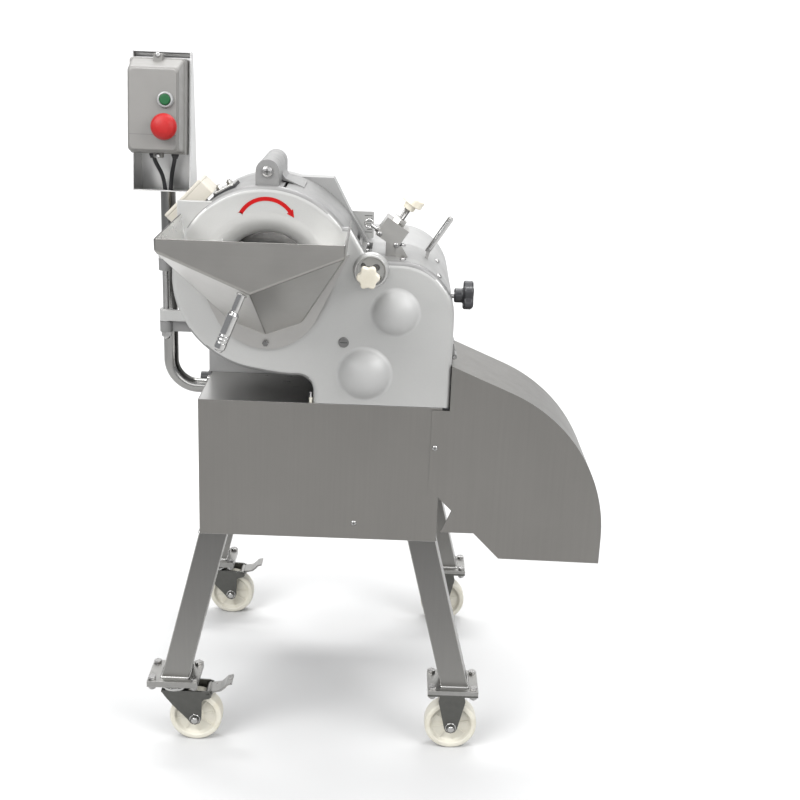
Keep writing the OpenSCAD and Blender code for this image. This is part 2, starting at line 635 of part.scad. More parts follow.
module door_bolts() color([0.65, 0.65, 0.65]) place() {
  bx(cx1 + 0.6, 106.8, 1, 9, 690.9, 694.48);
  union() {
    yhex(dx, 801.7, -12, -6, 13);
    ycyl(dx, 801.7, -6.5, -0.3, 4);
  }
  ycyl(-80, 806, -2, -0.0, 9);
  for (p = [[8.8, 6.8], [-13.2, 9.2], [13.5, -11]]) ycyl(-37 + p[0], 933 + p[1], -7.5, -5, 3.6);
}

/* ---------- hood ---------- */
module hood2(t) {
  intersection() {
    translate([hcx, hcz]) circle(r = hcr - t);
    translate([hcx - 0.5, hcz - 0.5]) square([200, 200]);
  }
  polygon([[-38 - (t > 0 ? 30 : 0), 786 - (t > 0 ? 20 : 0)], [-38 - (t > 0 ? 30 : 0), hcz + hcr - t], [hcx, hcz + hcr - t], [hcx, hcz], [107.5 - t, hcz], [107.5 - t, 786 - (t > 0 ? 20 : 0)]]);
}
module hood() color([0.74, 0.74, 0.72]) place() difference() {
  union() {
    yext(door_t + 0.6, head_y - 0.6) difference() {
      hood2(0);
      hood2(2);
    }
    yext(door_t + 0.6, door_t + 2.6) difference() {
      hood2(0);
      hood2(11);
    }
    for (y = [30, 122]) {
      ycyl(hhx, hhz, y, y + 28, 5);
      yext(y, y + 28) polygon([[106, 787], [109.5, 778], [113, 783], [110.5, 802], [106, 802]]);
    }
  }
  ycyl(hhx, hhz, 20, 160, 3.06);
  xcyl(60, 882, 100, 120, 5.06);
}
module hood_screws() color([0.75, 0.75, 0.75]) place() for (p = [[88, 24], [46, 24], [88, 150], [46, 150]])
  translate([hcx, 0, hcz]) rotate([0, -p[0], 0]) intersection() {
    translate([hcr - 1.6, p[1], 0]) sphere(r = 5.4);
    bx(hcr + 0.02, hcr + 8, p[1] - 8, p[1] + 8, -8, 8);
  }
module hood_lever() color([0.8, 0.8, 0.8]) place() {
  v = [36, 0, 56] / sqrt(36 * 36 + 56 * 56);
  union() {
    yext(94, 106) polygon([[55.2, 938.95], [60, 936.35], [63.5, 951], [61, 958], [57.5, 953]]);
    along([59, 100, 949], v, 0, 71, 5.5);
    along([59, 100, 949], v, 70, 74, 4.2);
  }
}
module hood_knob() color([0.1, 0.1, 0.1]) place() {
  xcyl(60, 882, 101, 124, 5);
  difference() {
    union() {
      xcyl(60, 882, 107.9, 124, 12.5);
      translate([123.5, 60, 882]) rotate([0, 90, 0]) linear_extrude(height = 17.5) star2(26.5, 5, 9);
    }
    xcyl(60, 882, 100, 124.2, 5.02);
  }
}
module clamp_block() color([0.72, 0.72, 0.70]) place() {
  difference() {
    union() {
      clampf() bx(-22, 22, 40, 85, -18, 18);
      yext(50, 73) polygon([[-14, hcz + hcr + 0.02], [5, hcz + hcr + 0.02], [5, 966], [-6, 980], [-14, 983]]);
      yext(41, 44) polygon([[3, hcz + hcr + 0.02], [24, hcz + hcr + 0.02], [24, hcz + hcr + 1.5], [13, 968], [3, 968]]);
    }
    clampf() zcyl(0, 62, -17, 40, 6.06);
    clampf() xcyl(62, -12.2, -40, -8, 3.06);
  }
  clampf() difference() {
    zhex(0, 62, 18.05, 27, 22);
    zcyl(0, 62, 10, 40, 6.06);
  }
}
module clamp_knob() color([0.88, 0.86, 0.8]) place() clampf() {
  zcyl(0, 62, -8, 66, 6);
  difference() {
    union() {
      translate([0, 62, 56]) linear_extrude(height = 14) star2(18.5, 6, 5);
      zcyl(0, 62, 46, 57, 11);
    }
    zcyl(0, 62, 40, 66.5, 6.02);
  }
}
module clamp_pin() color([0.75, 0.75, 0.75]) place() clampf() union() {
  xcyl(62, -12.2, -36, -10, 3);
  xcyl(62, -12.2, -26, -22.4, 5);
  translate([-40, 62, -12.2]) rotate([90, 0, 0]) rotate_extrude() translate([7, 0]) circle(r = 1.4, $fn = 24);
}
module thickness_scale() color([0.8, 0.8, 0.8]) place() difference() {
  yext(196, 199) polygon([[-77.8, 1000], [-74.5, 994.6], [-45, 949.1], [-38, 952], [-38, 1000]]);
  for (i = [0:6]) bx(-50 + (i % 3 == 0 ? -5 : 0), -41, 190, 196.4, 962 + 5 * i, 963 + 5 * i);
}

/* ---------- interlock ---------- */
module interlock_switch() color([0.87, 0.84, 0.77]) place() polar(136.5) difference() {
  bx(164, 196, 30, 96, -39, 49);
  bx(168, 192, 34, 92, -35, 45);
}
module saddle() translate([0, 110, 0]) rotate([90, 0, 0]) cylinder(r = drum_r + 0.02, h = 90, $fn = 360);
module interlock_plate() color([0.8, 0.8, 0.78]) place() {
  polar(119.3) bx(163.05, 166.5, 34, 92, -24, 14.5);
  polar(119.3) difference() {
    bx(155, 163, 33, 93, -25, 15);
    saddle();
  }
  polar(119.3) for (z = [-15, 5]) xhex(63, z, 166.55, 172, 10);
  polar(136.5) difference() {
    bx(155, 163.97, 34, 92, -10, 40);
    saddle();
  }
}

/* ---------- control stand ---------- */
module pole_sweep(r) {
  zcyl(px, py, 722, 1060, r);
  translate([px + 50, py, 722]) rotate([90, 0, 0]) rotate([0, 0, 180]) rotate_extrude(angle = 90) translate([50, 0]) circle(r = r);
  xcyl(py, pz, px + 50, -300, r);
}
module control_pole() color([0.68, 0.68, 0.66]) place() difference() {
  union() {
    pole_sweep(pole_r);
    xcyl(py, pz, cx0 - 5, cx0 - 0.02, pole_r + 6);
  }
  union() {
    pole_sweep(pole_r - pole_t);
    xcyl(py, pz, -310, -290, pole_r - pole_t);
  }
  loc() bx(-100, 100, -100, 200, 0, 200);
}
module control_bracket() color([0.55, 0.55, 0.53]) place() loc() difference() {
  union() {
    for (x = [-50, 48]) xext(x, x + 2) polygon([[0, 0], [77, 0], [21, 235], [0, 235]]);
    xext(-50, 50) polygon([[77, 0], [74.9, 0], [18.9, 235], [21, 235]]);
    xext(-50, 50) polygon([[0, 0], [77, 0], [77, 2], [0, 2]]);
    xext(-50, 50) polygon([[0, 233], [21, 233], [21, 235], [0, 235]]);
    bx(-49, 49, 12, 14, 80, 226);
  }
  zcyl(3, 45.5, -5, 10, 11);
}
module control_base() color([0.74, 0.73, 0.71]) place() loc() difference() {
  bx(-47.5, 44.5, -20, 12, 64, 222);
  bx(-44.5, 41.5, -25, 9, 67, 219);
  for (x = [-14, 24]) zcyl(x, -3.4, 60, 70, 5.4);
}
module control_lid() color([0.76, 0.75, 0.73]) place() loc() {
  difference() {
    union() {
      hull() {
        bx(-49.5, 44.5, -24, -20.05, 64, 222);
        bx(-45, 40.5, -64, -63, 66, 205);
      }
      bx(-43.5, 39, -68, -62, 69, 202);
      bx(-8, 8, -34, -20.05, 214, 229);
      bx(-8, 8, -34, -20.05, 57, 72);
      ycyl(19, 152, -74, -66, 13.5);
    }
    bx(-41, 37, -60, -10, 70, 196);
    ycyl(19, 152, -80, -50, 9.06);
    ycyl(19, 108, -80, -50, 8.06);
    for (z = [226, 60]) ycyl(0, z, -40, -15, 2.6);
  }
  for (z = [226, 60]) ycyl(0, z, -36, -18, 2.5);
}
module start_button() color([0.24, 0.5, 0.3]) place() loc() union() {
  ycyl(19, 152, -77, -52, 9);
  ycyl(19, 152, -59.5, -56, 11);
}
module stop_button() color([0.84, 0.2, 0.18]) place() loc() union() {
  ycyl(19, 108, -80, -50, 8);
  ycyl(19, 108, -59.5, -56, 11);
  intersection() {
    translate([19, -66, 108]) sphere(r = 30);
    ycyl(19, 108, -100, -79, 22);
  }
}
function bez(a, b, c, d, t) = a * pow(1 - t, 3) + 3 * b * t * pow(1 - t, 2) + 3 * c * t * t * (1 - t) + d * t * t * t;
function slope(a, b, c, d, t) = 3 * (b - a) * pow(1 - t, 2) + 6 * (c - b) * t * (1 - t) + 3 * (d - c) * t * t;
function unit(v) = v / sqrt(v * v);
// round cord along a smooth curve from a to d
module cord(a, b, c, d, r) {
  n = 20;
  m = 10;
  pts = [for (i = [0:n]) let (t = i / n, p = bez(a, b, c, d, t), u = unit(slope(a, b, c, d, t)), v = unit(cross(u, [1, 0, 0])), w = cross(u, v))
    for (j = [0:m - 1]) p + r * (cos(360 * j / m) * v + sin(360 * j / m) * w)];
  polyhedron(points = pts, faces = concat(
    [[for (j = [0:m - 1]) j]],
    [for (i = [0:n - 1], j = [0:m - 1]) [i * m + j, (i + 1) * m + j, (i + 1) * m + (j + 1) % m, i * m + (j + 1) % m]],
    [[for (j = [m - 1:-1:0]) n * m + j]]));
}
module control_cables() color([0.08, 0.08, 0.08]) place() loc() {
  cord([-14, -4, 74], [-14, -4, 36], [-1.6, 45, 46], [-1.6, 45, -14], 3.5);
  cord([24, -4, 74], [24, -4, 36], [7.6, 45, 46], [7.6, 45, -14], 3.5);
}
module supply_gland() color([0.1, 0.1, 0.1]) place() difference() {
  union() {
    xhex(gy, gz, -340, cx0 - 0.02, 27);
    xcyl(gy, gz, -354, -339, 12);
    xcyl(gy, gz, -341, -318, 10);
    xhex(gy, gz, cx0 + sheet + 0.02, -322, 27);
  }
  xcyl(gy, gz, -360, -310, gland_bore);
}
module cover_screws() color([0.75, 0.75, 0.75]) place() {
  union() {
    zcyl(-135.2, 8, cab_top + 0.02, 703, 2.9);
    zcyl(-135.2, 8, 702, 712.5, 2.2);
  }
  ycyl(-54, 470.6, -2.5, -0.02, 5);
  ycyl(85, 620, -4.5, -2.02, 5);
  for (p = [[-292, 475], [56, 475], [-292, 660], [56, 660]]) ycyl(p[0], p[1], cab_d + 2.02, cab_d + 4.5, 5);
  for (p = [[-323, 712], [95, 712], [-289, 1005], [-138, 1003], [66, 917]]) ycyl(p[0], p[1], 370.02, 372.8, 5.5);
}

base_cabinet();
cabinet_floor();
rear_panel();
legs();
foot_plates();
caster_bolts();
swivel_plates();
front_left_fork();
rear_left_fork();
fixed_forks();
front_left_wheel();
rear_left_wheel();
front_right_wheel();
rear_right_wheel();
front_left_brake();
rear_left_brake();
discharge_chute();
discharge_slide();
rear_housing();
rear_cover();
gearbox_plate();
shaft_bearings();
drum_shell();
slice_gate();
hinge_pins();
slicing_knife();
impeller();
main_shaft();
feed_roller();
disc_knives();
crosscut_rotor();
crosscut_drive();
motor();
motor_pulley();
drive_belts();
front_cover();
hopper();
hopper_flange();
hopper_handle();
lock_knob();
door_bolts();
hood();
hood_screws();
hood_lever();
hood_knob();
clamp_block();
clamp_knob();
clamp_pin();
thickness_scale();
interlock_switch();
interlock_plate();
control_pole();
control_bracket();
control_base();
control_lid();
start_button();
stop_button();
control_cables();
supply_gland();
cover_screws();
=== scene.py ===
import json
import math

import bmesh
import bpy
from mathutils import Matrix, Vector


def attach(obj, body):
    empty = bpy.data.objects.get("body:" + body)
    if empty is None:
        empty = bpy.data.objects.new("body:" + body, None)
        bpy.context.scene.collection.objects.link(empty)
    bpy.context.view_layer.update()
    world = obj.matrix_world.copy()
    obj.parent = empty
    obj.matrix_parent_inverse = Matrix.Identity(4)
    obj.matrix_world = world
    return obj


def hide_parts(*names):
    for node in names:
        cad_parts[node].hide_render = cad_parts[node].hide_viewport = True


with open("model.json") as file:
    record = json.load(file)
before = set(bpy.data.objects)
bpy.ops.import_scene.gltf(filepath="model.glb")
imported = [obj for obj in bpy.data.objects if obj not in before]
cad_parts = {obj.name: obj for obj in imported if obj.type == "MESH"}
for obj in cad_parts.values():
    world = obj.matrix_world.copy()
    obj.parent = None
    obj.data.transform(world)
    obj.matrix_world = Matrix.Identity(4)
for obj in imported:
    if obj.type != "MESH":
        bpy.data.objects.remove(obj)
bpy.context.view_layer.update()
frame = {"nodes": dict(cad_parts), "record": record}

NODES = frame["nodes"]
SCENE = bpy.context.scene
MM = 0.001
OX, OY = 32.15, -175.0
C7, S7 = math.cos(math.radians(7)), math.sin(math.radians(7))
C33, S33 = math.cos(math.radians(33)), math.sin(math.radians(33))
DX, DZ = -213.0, 908.0


def P(x, y, z):
    """millimetres in the machine's own frame to metres in the row frame"""
    return Vector(((x + OX) * MM, (y + OY) * MM, z * MM))


def LOC(x, y, z):
    """control box frame, tilted back 7 degrees"""
    return P(-406 + x, 105 + y * C7 + z * S7, 1036 - y * S7 + z * C7)


def CLAMP(x, y, z):
    """clamp frame, leaning 33 degrees to the right"""
    return P(-3.5 + x * C33 + z * S33, y, 990 - x * S33 + z * C33)


# ------------------------------------------------------------------ camera
def make_camera():
    th, ps, ro = math.radians(18), math.radians(0.58), math.radians(2.3)
    right = Vector((math.cos(ps), -math.sin(ps), 0))
    fh = Vector((math.sin(ps), math.cos(ps), 0))
    fwd = fh * math.cos(th) + Vector((0, 0, -math.sin(th)))
    down = -fh * math.sin(th) + Vector((0, 0, -math.cos(th)))
    xi = right * math.cos(ro) - down * math.sin(ro)
    yd = right * math.sin(ro) + down * math.cos(ro)
    cam = bpy.data.cameras.new("camera")
    cam.sensor_width = 36
    cam.lens = 1219 / 800 * 36
    cam.clip_start, cam.clip_end = 0.05, 60
    ob = bpy.data.objects.new("camera", cam)
    SCENE.collection.objects.link(ob)
    m = Matrix((xi, -yd, -fwd)).transposed().to_4x4()
    m.translation = P(0, -2015.2, 1361)
    ob.matrix_world = m
    SCENE.camera = ob


make_camera()


# --------------------------------------------------------------- materials
class Mat:
    """small helper that wires a Principled material"""

    def __init__(self, name):
        self.m = bpy.data.materials.new(name)
        self.m.use_nodes = True
        self.nt = self.m.node_tree
        self.b = self.nt.nodes["Principled BSDF"]
        self.tc = self.nt.nodes.new("ShaderNodeTexCoord")

    def node(self, kind, **kw):
        n = self.nt.nodes.new(kind)
        for k, v in kw.items():
            setattr(n, k, v)
        return n

    def link(self, a, b):
        self.nt.links.new(a, b)

    def noise(self, scale, detail=3.0, rough=0.5, stretch=(1, 1, 1), rot=(0, 0, 0), dist=0.0):
        mp = self.node("ShaderNodeMapping")
        mp.inputs["Scale"].default_value = stretch
        mp.inputs["Rotation"].default_value = rot
        self.link(self.tc.outputs["Object"], mp.inputs["Vector"])
        n = self.node("ShaderNodeTexNoise")
        n.inputs["Scale"].default_value = scale
        n.inputs["Detail"].default_value = detail
        n.inputs["Roughness"].default_value = rough
        n.inputs["Distortion"].default_value = dist
        self.link(mp.outputs["Vector"], n.inputs["Vector"])
        return n.outputs["Fac"]

    def ramp(self, fac, stops):
        r = self.node("ShaderNodeValToRGB")
        els = r.color_ramp.elements
        while len(els) < len(stops):
            els.new(0.5)
        for e, (p, c) in zip(els, stops):
            e.position = p
            e.color = (*c, 1)
        self.link(fac, r.inputs["Fac"])
        return r.outputs["Color"]

    def span(self, fac, lo, hi, a=0.3, b=0.7):
        r = self.node("ShaderNodeMapRange")
        r.inputs["From Min"].default_value = a
        r.inputs["From Max"].default_value = b
        r.inputs["To Min"].default_value = lo
        r.inputs["To Max"].default_value = hi
        self.link(fac, r.inputs["Value"])
        return r.outputs["Result"]

    def add(self, a, b, ka=0.5, kb=0.5):
        m1 = self.node("ShaderNodeMath", operation="MULTIPLY")
        m1.inputs[1].default_value = ka
        self.link(a, m1.inputs[0])
        m2 = self.node("ShaderNodeMath", operation="MULTIPLY_ADD")
        m2.inputs[1].default_value = kb
        self.link(b, m2.inputs[0])
        self.link(m1.outputs[0], m2.inputs[2])
        return m2.outputs[0]

    def bump(self, fac, strength, distance, prev=None):
        b = self.node("ShaderNodeBump")
        b.inputs["Strength"].default_value = strength
        b.inputs["Distance"].default_value = distance
        self.link(fac, b.inputs["Height"])
        if prev is not None:
            self.link(prev, b.inputs["Normal"])
        return b.outputs["Normal"]

    def colour(self, sock):
        self.link(sock, self.b.inputs["Base Color"])

    def rough(self, sock):
        self.link(sock, self.b.inputs["Roughness"])

    def normal(self, sock):
        self.link(sock, self.b.inputs["Normal"])

    def set(self, **kw):
        for k, v in kw.items():
            self.b.inputs[k.replace("_", " ")].default_value = v


def shade(c, k):
    return tuple(max(0.0, min(1.0, x * k)) for x in c)


def steel(name, base, rough, stretch, amount=0.05, streak=0.06, fine=0.05, metallic=1.0, aniso=0.0):
    """brushed sheet: long streaks, cloudy polish marks, fine grain in the bump"""
    m = Mat(name)
    long_ = m.noise(1.0, 3, 0.5, stretch)
    cloud = m.noise(4.0, 4, 0.55, (1, 1, 1), dist=0.3)
    spots = m.noise(38, 3, 0.5)
    mix = m.add(long_, cloud, 0.4, 0.6)
    m.colour(m.ramp(mix, [(0.32, shade(base, 1 - amount)), (0.5, base), (0.68, shade(base, 1 + amount))]))
    rr = m.add(m.span(mix, rough - streak * 0.6, rough + streak), m.span(spots, -0.02, 0.02), 1.0, 1.0)
    m.rough(rr)
    grain = m.noise(1.0, 2, 0.5, tuple(s * 5 for s in stretch))
    m.normal(m.bump(grain, fine, 0.00012, m.bump(cloud, 0.05, 0.002)))
    m.set(Metallic=metallic, Anisotropic=aniso)
    return m.m


def paint(name, base, rough=0.33, metallic=0.30, amount=0.045, peel=0.12):
    """metallic enamel on a casting: flake, orange peel, cloudy casting waviness, rubbed patches"""
    m = Mat(name)
    cloud = m.noise(4.0, 5, 0.55, dist=0.4)
    flake = m.noise(900, 1, 0.5)
    rub = m.noise(13, 4, 0.6, (1, 1, 2.2))
    mix = m.add(cloud, flake, 0.72, 0.28)
    m.colour(m.ramp(mix, [(0.34, shade(base, 1 - amount)), (0.5, base), (0.66, shade(base, 1 + amount))]))
    m.rough(m.span(rub, rough - 0.05, rough + 0.08))
    pn = m.noise(260, 2, 0.5)
    m.normal(m.bump(pn, peel, 0.0002, m.bump(cloud, 0.12, 0.004)))
    m.set(Metallic=metallic)
    return m.m


def plastic(name, base, rough=0.42, amount=0.06, grain=0.15, coat=0.0, dirt=None):
    """moulded plastic: faint flow marks, fine texture, handled patches"""
    m = Mat(name)
    flow = m.noise(14, 4, 0.55, (1, 1, 1.7), dist=0.5)
    hand = m.noise(45, 3, 0.6)
    mix = m.add(flow, hand, 0.6, 0.4)
    m.colour(m.ramp(mix, [(0.33, dirt or shade(base, 1 - amount)), (0.5, base), (0.67, shade(base, 1 + amount * 0.5))]))
    m.rough(m.span(hand, rough - 0.06, rough + 0.08))
    m.normal(m.bump(m.noise(1400, 2, 0.5), grain, 0.00012))
    m.set(Coat_Weight=coat)
    return m.m


def rubber(name, base, rough=0.62):
    m = Mat(name)
    dust = m.noise(22, 5, 0.6)
    m.colour(m.ramp(dust, [(0.35, base), (0.72, shade(base, 1.9))]))
    m.rough(m.span(dust, rough - 0.08, rough + 0.1))
    m.normal(m.bump(m.noise(800, 2, 0.5), 0.25, 0.0002))
    return m.m


def plain_paint(name, base, rough=0.4):
    """printed or sprayed colour with small tone changes"""
    m = Mat(name)
    n = m.noise(60, 4, 0.6)
    m.colour(m.ramp(n, [(0.3, shade(base, 0.88)), (0.7, shade(base, 1.06))]))
    m.rough(m.span(n, rough - 0.05, rough + 0.08))
    m.normal(m.bump(m.noise(700, 2, 0.5), 0.08, 0.0001))
    return m.m


STEEL_V = steel("stainless_upright", (0.186, 0.180, 0.169), 0.36, (240, 240, 5))
STEEL_H = steel("stainless_level", (0.24, 0.234, 0.222), 0.34, (5, 240, 240))
STEEL_D = steel("stainless_depth", (0.26, 0.254, 0.244), 0.33, (240, 5, 240))
STEEL_HOP = steel("stainless_hopper", (0.275, 0.267, 0.252), 0.30, (6, 200, 200), amount=0.025, streak=0.03, fine=0.02)
# a much lighter copy of the hopper steel for its lower facets: painted light
STEEL_HOP_LOWER_LIT = steel("stainless_hopper_under_lit", (0.52, 0.512, 0.495), 0.34, (6, 200, 200), amount=0.025, streak=0.03, fine=0.02)
FLANGE = steel("stainless_flange", (0.34, 0.332, 0.318), 0.34, (120, 120, 120), amount=0.025, streak=0.03, fine=0.02)
# a much lighter copy of the steel for the cabinet top beside the knife opening: painted light on the top face
STEEL_TOP_LIT = steel("stainless_top_lit", (0.50, 0.496, 0.485), 0.30, (5, 240, 240), amount=0.03)
# a near-white copy of the steel for the inner faces of the hopper: painted reflection of the door
STEEL_HOP_INSIDE_REFLECTION = steel("stainless_hopper_inside_reflection", (0.75, 0.745, 0.73), 0.26, (6, 200, 200))
# a dark copy of the steel for the hopper's cut edges and hem: painted shade that hides their highlight
STEEL_RIM_SHADED = steel("stainless_rim_shaded", (0.15, 0.146, 0.138), 0.32, (120, 120, 120))
# a lighter, smoother steel that dress puts on the bevel faces of edges: painted highlight along the edges; the
# interlock clamp plate is made of it whole
STEEL_EDGE = steel("stainless_edge", (0.37, 0.366, 0.352), 0.24, (120, 120, 120))
STEEL_TUBE = steel("stainless_tube", (0.265, 0.262, 0.253), 0.17, (220, 220, 5), streak=0.05)
STEEL_TRAY = steel("stainless_tray", (0.46, 0.458, 0.452), 0.30, (240, 240, 8))


def shaded_leg_steel():
    """tube steel that darkens towards the top of the leg: painted shade near the cabinet"""
    m = Mat("stainless_leg_shaded_top")
    nt = m.m.node_tree
    tc = nt.nodes.new("ShaderNodeTexCoord")
    sep = nt.nodes.new("ShaderNodeSeparateXYZ")
    nt.links.new(tc.outputs["Object"], sep.inputs[0])
    # colour runs from light at 0.15 m to dark at 0.44 m height: painted shade towards the leg's top
    top_shade = nt.nodes.new("ShaderNodeMapRange")
    top_shade.inputs["From Min"].default_value = 0.15
    top_shade.inputs["From Max"].default_value = 0.44
    top_shade.inputs["To Min"].default_value = 1.0
    top_shade.inputs["To Max"].default_value = 0.0
    nt.links.new(sep.outputs["Z"], top_shade.inputs["Value"])
    streaks = m.noise(1.0, 3, 0.5, (240, 240, 8))
    cloud = m.noise(5.0, 4, 0.55, (1, 1, 1), dist=0.3)
    mix = m.add(top_shade.outputs[0], m.add(streaks, cloud, 0.5, 0.5), 0.8, 0.2)
    m.colour(m.ramp(mix, [(0.08, (0.118, 0.116, 0.112)), (0.5, (0.168, 0.165, 0.158)), (0.92, (0.245, 0.241, 0.230))]))
    m.rough(m.span(cloud, 0.26, 0.36))
    m.normal(m.bump(m.noise(1.0, 2, 0.5, (1200, 1200, 40)), 0.05, 0.00012, m.bump(cloud, 0.05, 0.002)))
    m.set(Metallic=1.0)
    return m.m


STEEL_LEG_SHADED_TOP = shaded_leg_steel()
STEEL_CAST = steel("stainless_pressed", (0.30, 0.296, 0.285), 0.30, (90, 90, 90), amount=0.12)
FORK = steel("stainless_fork", (0.112, 0.112, 0.105), 0.34, (90, 90, 90), amount=0.12)
STEEL_BLOCK = steel("stainless_block", (0.37, 0.362, 0.345), 0.30, (90, 90, 90))
MACHINED = steel("machined_steel", (0.34, 0.336, 0.33), 0.26, (140, 140, 140), amount=0.1)
# dark steel for the gearbox plate, impeller and bolts; also the painted shade in screw recesses and boss pockets
DARKSTEEL_AND_SHADE = steel("oiled_steel_and_recess_shade", (0.15, 0.148, 0.145), 0.36, (90, 90, 90), amount=0.15)
CHROME = steel("polished_bar", (0.46, 0.456, 0.445), 0.12, (160, 160, 160), amount=0.06, streak=0.05, fine=0.03)
PAINT = paint("silver_enamel", (0.330, 0.329, 0.320))
# darker copies of the silver enamel for the rear housing and cover, the drum and gate tops and the hood, which face the
# overhead lamp: painted shade
PAINT_REAR_SHADED = paint("silver_enamel_rear_shaded", (0.255, 0.254, 0.25), 0.44)
PAINT_TOP_SHADED = paint("silver_enamel_top_shaded", (0.165, 0.164, 0.161), 0.42)
PAINT_HOOD_SHADED = paint("silver_enamel_hood_shaded", (0.185, 0.184, 0.180), 0.38)
PAINT_DOME = paint("silver_enamel_dome", (0.342, 0.341, 0.334), 0.50, 0.22)
CREAM = plastic("cream_plastic", (0.56, 0.525, 0.44), 0.40, dirt=(0.51, 0.47, 0.38))
# a darker copy of the cream plastic for the interlock case, whose top faces the lamps: painted shade
CREAM_CASE_SHADED = plastic("cream_case_shaded", (0.40, 0.376, 0.325), 0.44, dirt=(0.36, 0.335, 0.28))
NYLON = plastic("cream_nylon", (0.52, 0.50, 0.43), 0.38, dirt=(0.45, 0.42, 0.34))
BOXGREY = plastic("box_grey", (0.148, 0.144, 0.136), 0.42, amount=0.05)
BEZEL = plastic("bezel_grey", (0.25, 0.252, 0.25), 0.30, amount=0.05)
GREEN = plastic("button_green", (0.006, 0.068, 0.020), 0.46, amount=0.12, coat=0.0)
GREEN.node_tree.nodes["Principled BSDF"].inputs["Specular IOR Level"].default_value = 0.25
RED = plastic("button_red", (0.29, 0.009, 0.009), 0.44, amount=0.12, coat=0.0)
RED.node_tree.nodes["Principled BSDF"].inputs["Specular IOR Level"].default_value = 0.25
BLACK = plastic("black_plastic", (0.016, 0.016, 0.018), 0.36, amount=0.3, grain=0.25)
RUBBER = rubber("black_rubber", (0.014, 0.014, 0.015))
MOTOR = paint("motor_paint", (0.07, 0.10, 0.14), 0.42, 0.1)
IRON = steel("cast_iron", (0.10, 0.10, 0.10), 0.45, (60, 60, 60), amount=0.2)
ARROW = plain_paint("arrow_red", (0.29, 0.0015, 0.002), 0.5)
ARROW.node_tree.nodes["Principled BSDF"].inputs["Specular IOR Level"].default_value = 0.15
LUG = paint("lug_grey", (0.172, 0.171, 0.168), 0.45, 0.2)
# black ink for the scale marks, and the painted shadow in the door plug's slot
INK_AND_SLOT_SHADE = plain_paint("scale_ink_and_slot_shade", (0.02, 0.02, 0.02), 0.5)


# ------------------------------------------------------------ mesh helpers
def basis(axis):
    a = Vector(axis).normalized()
    r = Vector((0, 0, 1)) if abs(a.z) < 0.9 else Vector((1, 0, 0))
    u = r.cross(a).normalized()
    return u, a.cross(u), a


def soft(prof, r, n=4):
    """polyline with its inner corners rounded to radius r (or a list of radii)"""
    out = [prof[0]]
    for i in range(1, len(prof) - 1):
        p0, p1, p2 = (Vector(prof[i - 1]), Vector(prof[i]), Vector(prof[i + 1]))
        q = r[i] if isinstance(r, (list, tuple)) else r
        d0, d2 = p0 - p1, p2 - p1
        if q <= 0 or d0.length < 1e-9 or d2.length < 1e-9:
            out.append(tuple(p1))
            continue
        k = min(q, d0.length * 0.48, d2.length * 0.48)
        a, b = p1 + d0.normalized() * k, p1 + d2.normalized() * k
        for j in range(n + 1):
            t = j / n
            out.append(tuple(a * (1 - t) ** 2 + p1 * 2 * t * (1 - t) + b * t * t))
    out.append(prof[-1])
    return out


def lathe(bm, c, axis, prof, seg=48, mat=0, scale=MM, cap=True):
    """solid of revolution; prof is (radius, height) in millimetres"""
    u, v, a = basis(axis)
    rings = []
    for r, h in prof:
        if r < 1e-6:
            rings.append([bm.verts.new(c + a * (h * scale))])
        else:
            rings.append(
                [
                    bm.verts.new(
                        c
                        + a * (h * scale)
                        + (u * math.cos(2 * math.pi * k / seg) + v * math.sin(2 * math.pi * k / seg)) * (r * scale)
                    )
                    for k in range(seg)
                ]
            )
    fs = []
    for p, q in zip(rings, rings[1:]):
        if len(p) == 1 and len(q) == 1:
            continue
        for k in range(seg):
            k2 = (k + 1) % seg
            if len(p) == 1:
                fs.append(bm.faces.new((p[0], q[k2], q[k])))
            elif len(q) == 1:
                fs.append(bm.faces.new((p[k], p[k2], q[0])))
            else:
                fs.append(bm.faces.new((p[k], p[k2], q[k2], q[k])))
    if cap:
        for ring in (rings[0], rings[-1]):
            if len(ring) > 1:
                fs.append(bm.faces.new(ring))
    for f in fs:
        f.material_index = mat
    return fs


def area2(p):
    return sum(p[i - 1][0] * p[i][1] - p[i][0] * p[i - 1][1] for i in range(len(p))) / 2


def inset(pts, d):
    """closed 2D outline moved inwards by d with mitred corners; pts run anticlockwise"""
    n = len(pts)
    out = []
    for i in range(n):
        p0, p1, p2 = Vector(pts[i - 1]), Vector(pts[i]), Vector(pts[(i + 1) % n])
        e1, e2 = (p1 - p0).normalized(), (p2 - p1).normalized()
        n1, n2 = Vector((-e1.y, e1.x)), Vector((-e2.y, e2.x))
        k = 1 + n1.dot(n2)
        out.append(tuple(p1 + (n1 + n2) * (d / max(k, 0.35))))
    return out


def loft(bm, outline, levels, place, mat=0, cap0=True, cap1=True):
    """outline swept through levels of (inset, height); place(x, z, h) gives a point"""
    if area2(outline) < 0:
        outline = outline[::-1]
    loops = []
    for d, h in levels:
        pts = inset(outline, d) if abs(d) > 1e-9 else outline
        loops.append([bm.verts.new(place(x, z, h)) for x, z in pts])
    n = len(outline)
    fs = []
    for a, b in zip(loops, loops[1:]):
        for i in range(n):
            j = (i + 1) % n
            fs.append(bm.faces.new((a[i], a[j], b[j], b[i])))
    if cap0:
        fs.append(bm.faces.new(loops[0][::-1]))
    if cap1:
        fs.append(bm.faces.new(loops[-1]))
    for f in fs:
        f.material_index = mat
    return loops


def rrect(x0, x1, z0, z1, r, n=5):
    pts = []
    for cx, cz, a0 in ((x1 - r, z0 + r, -90), (x1 - r, z1 - r, 0), (x0 + r, z1 - r, 90), (x0 + r, z0 + r, 180)):
        for k in range(n + 1):
            a = math.radians(a0 + 90 * k / n)
            pts.append((cx + r * math.cos(a), cz + r * math.sin(a)))
    return pts


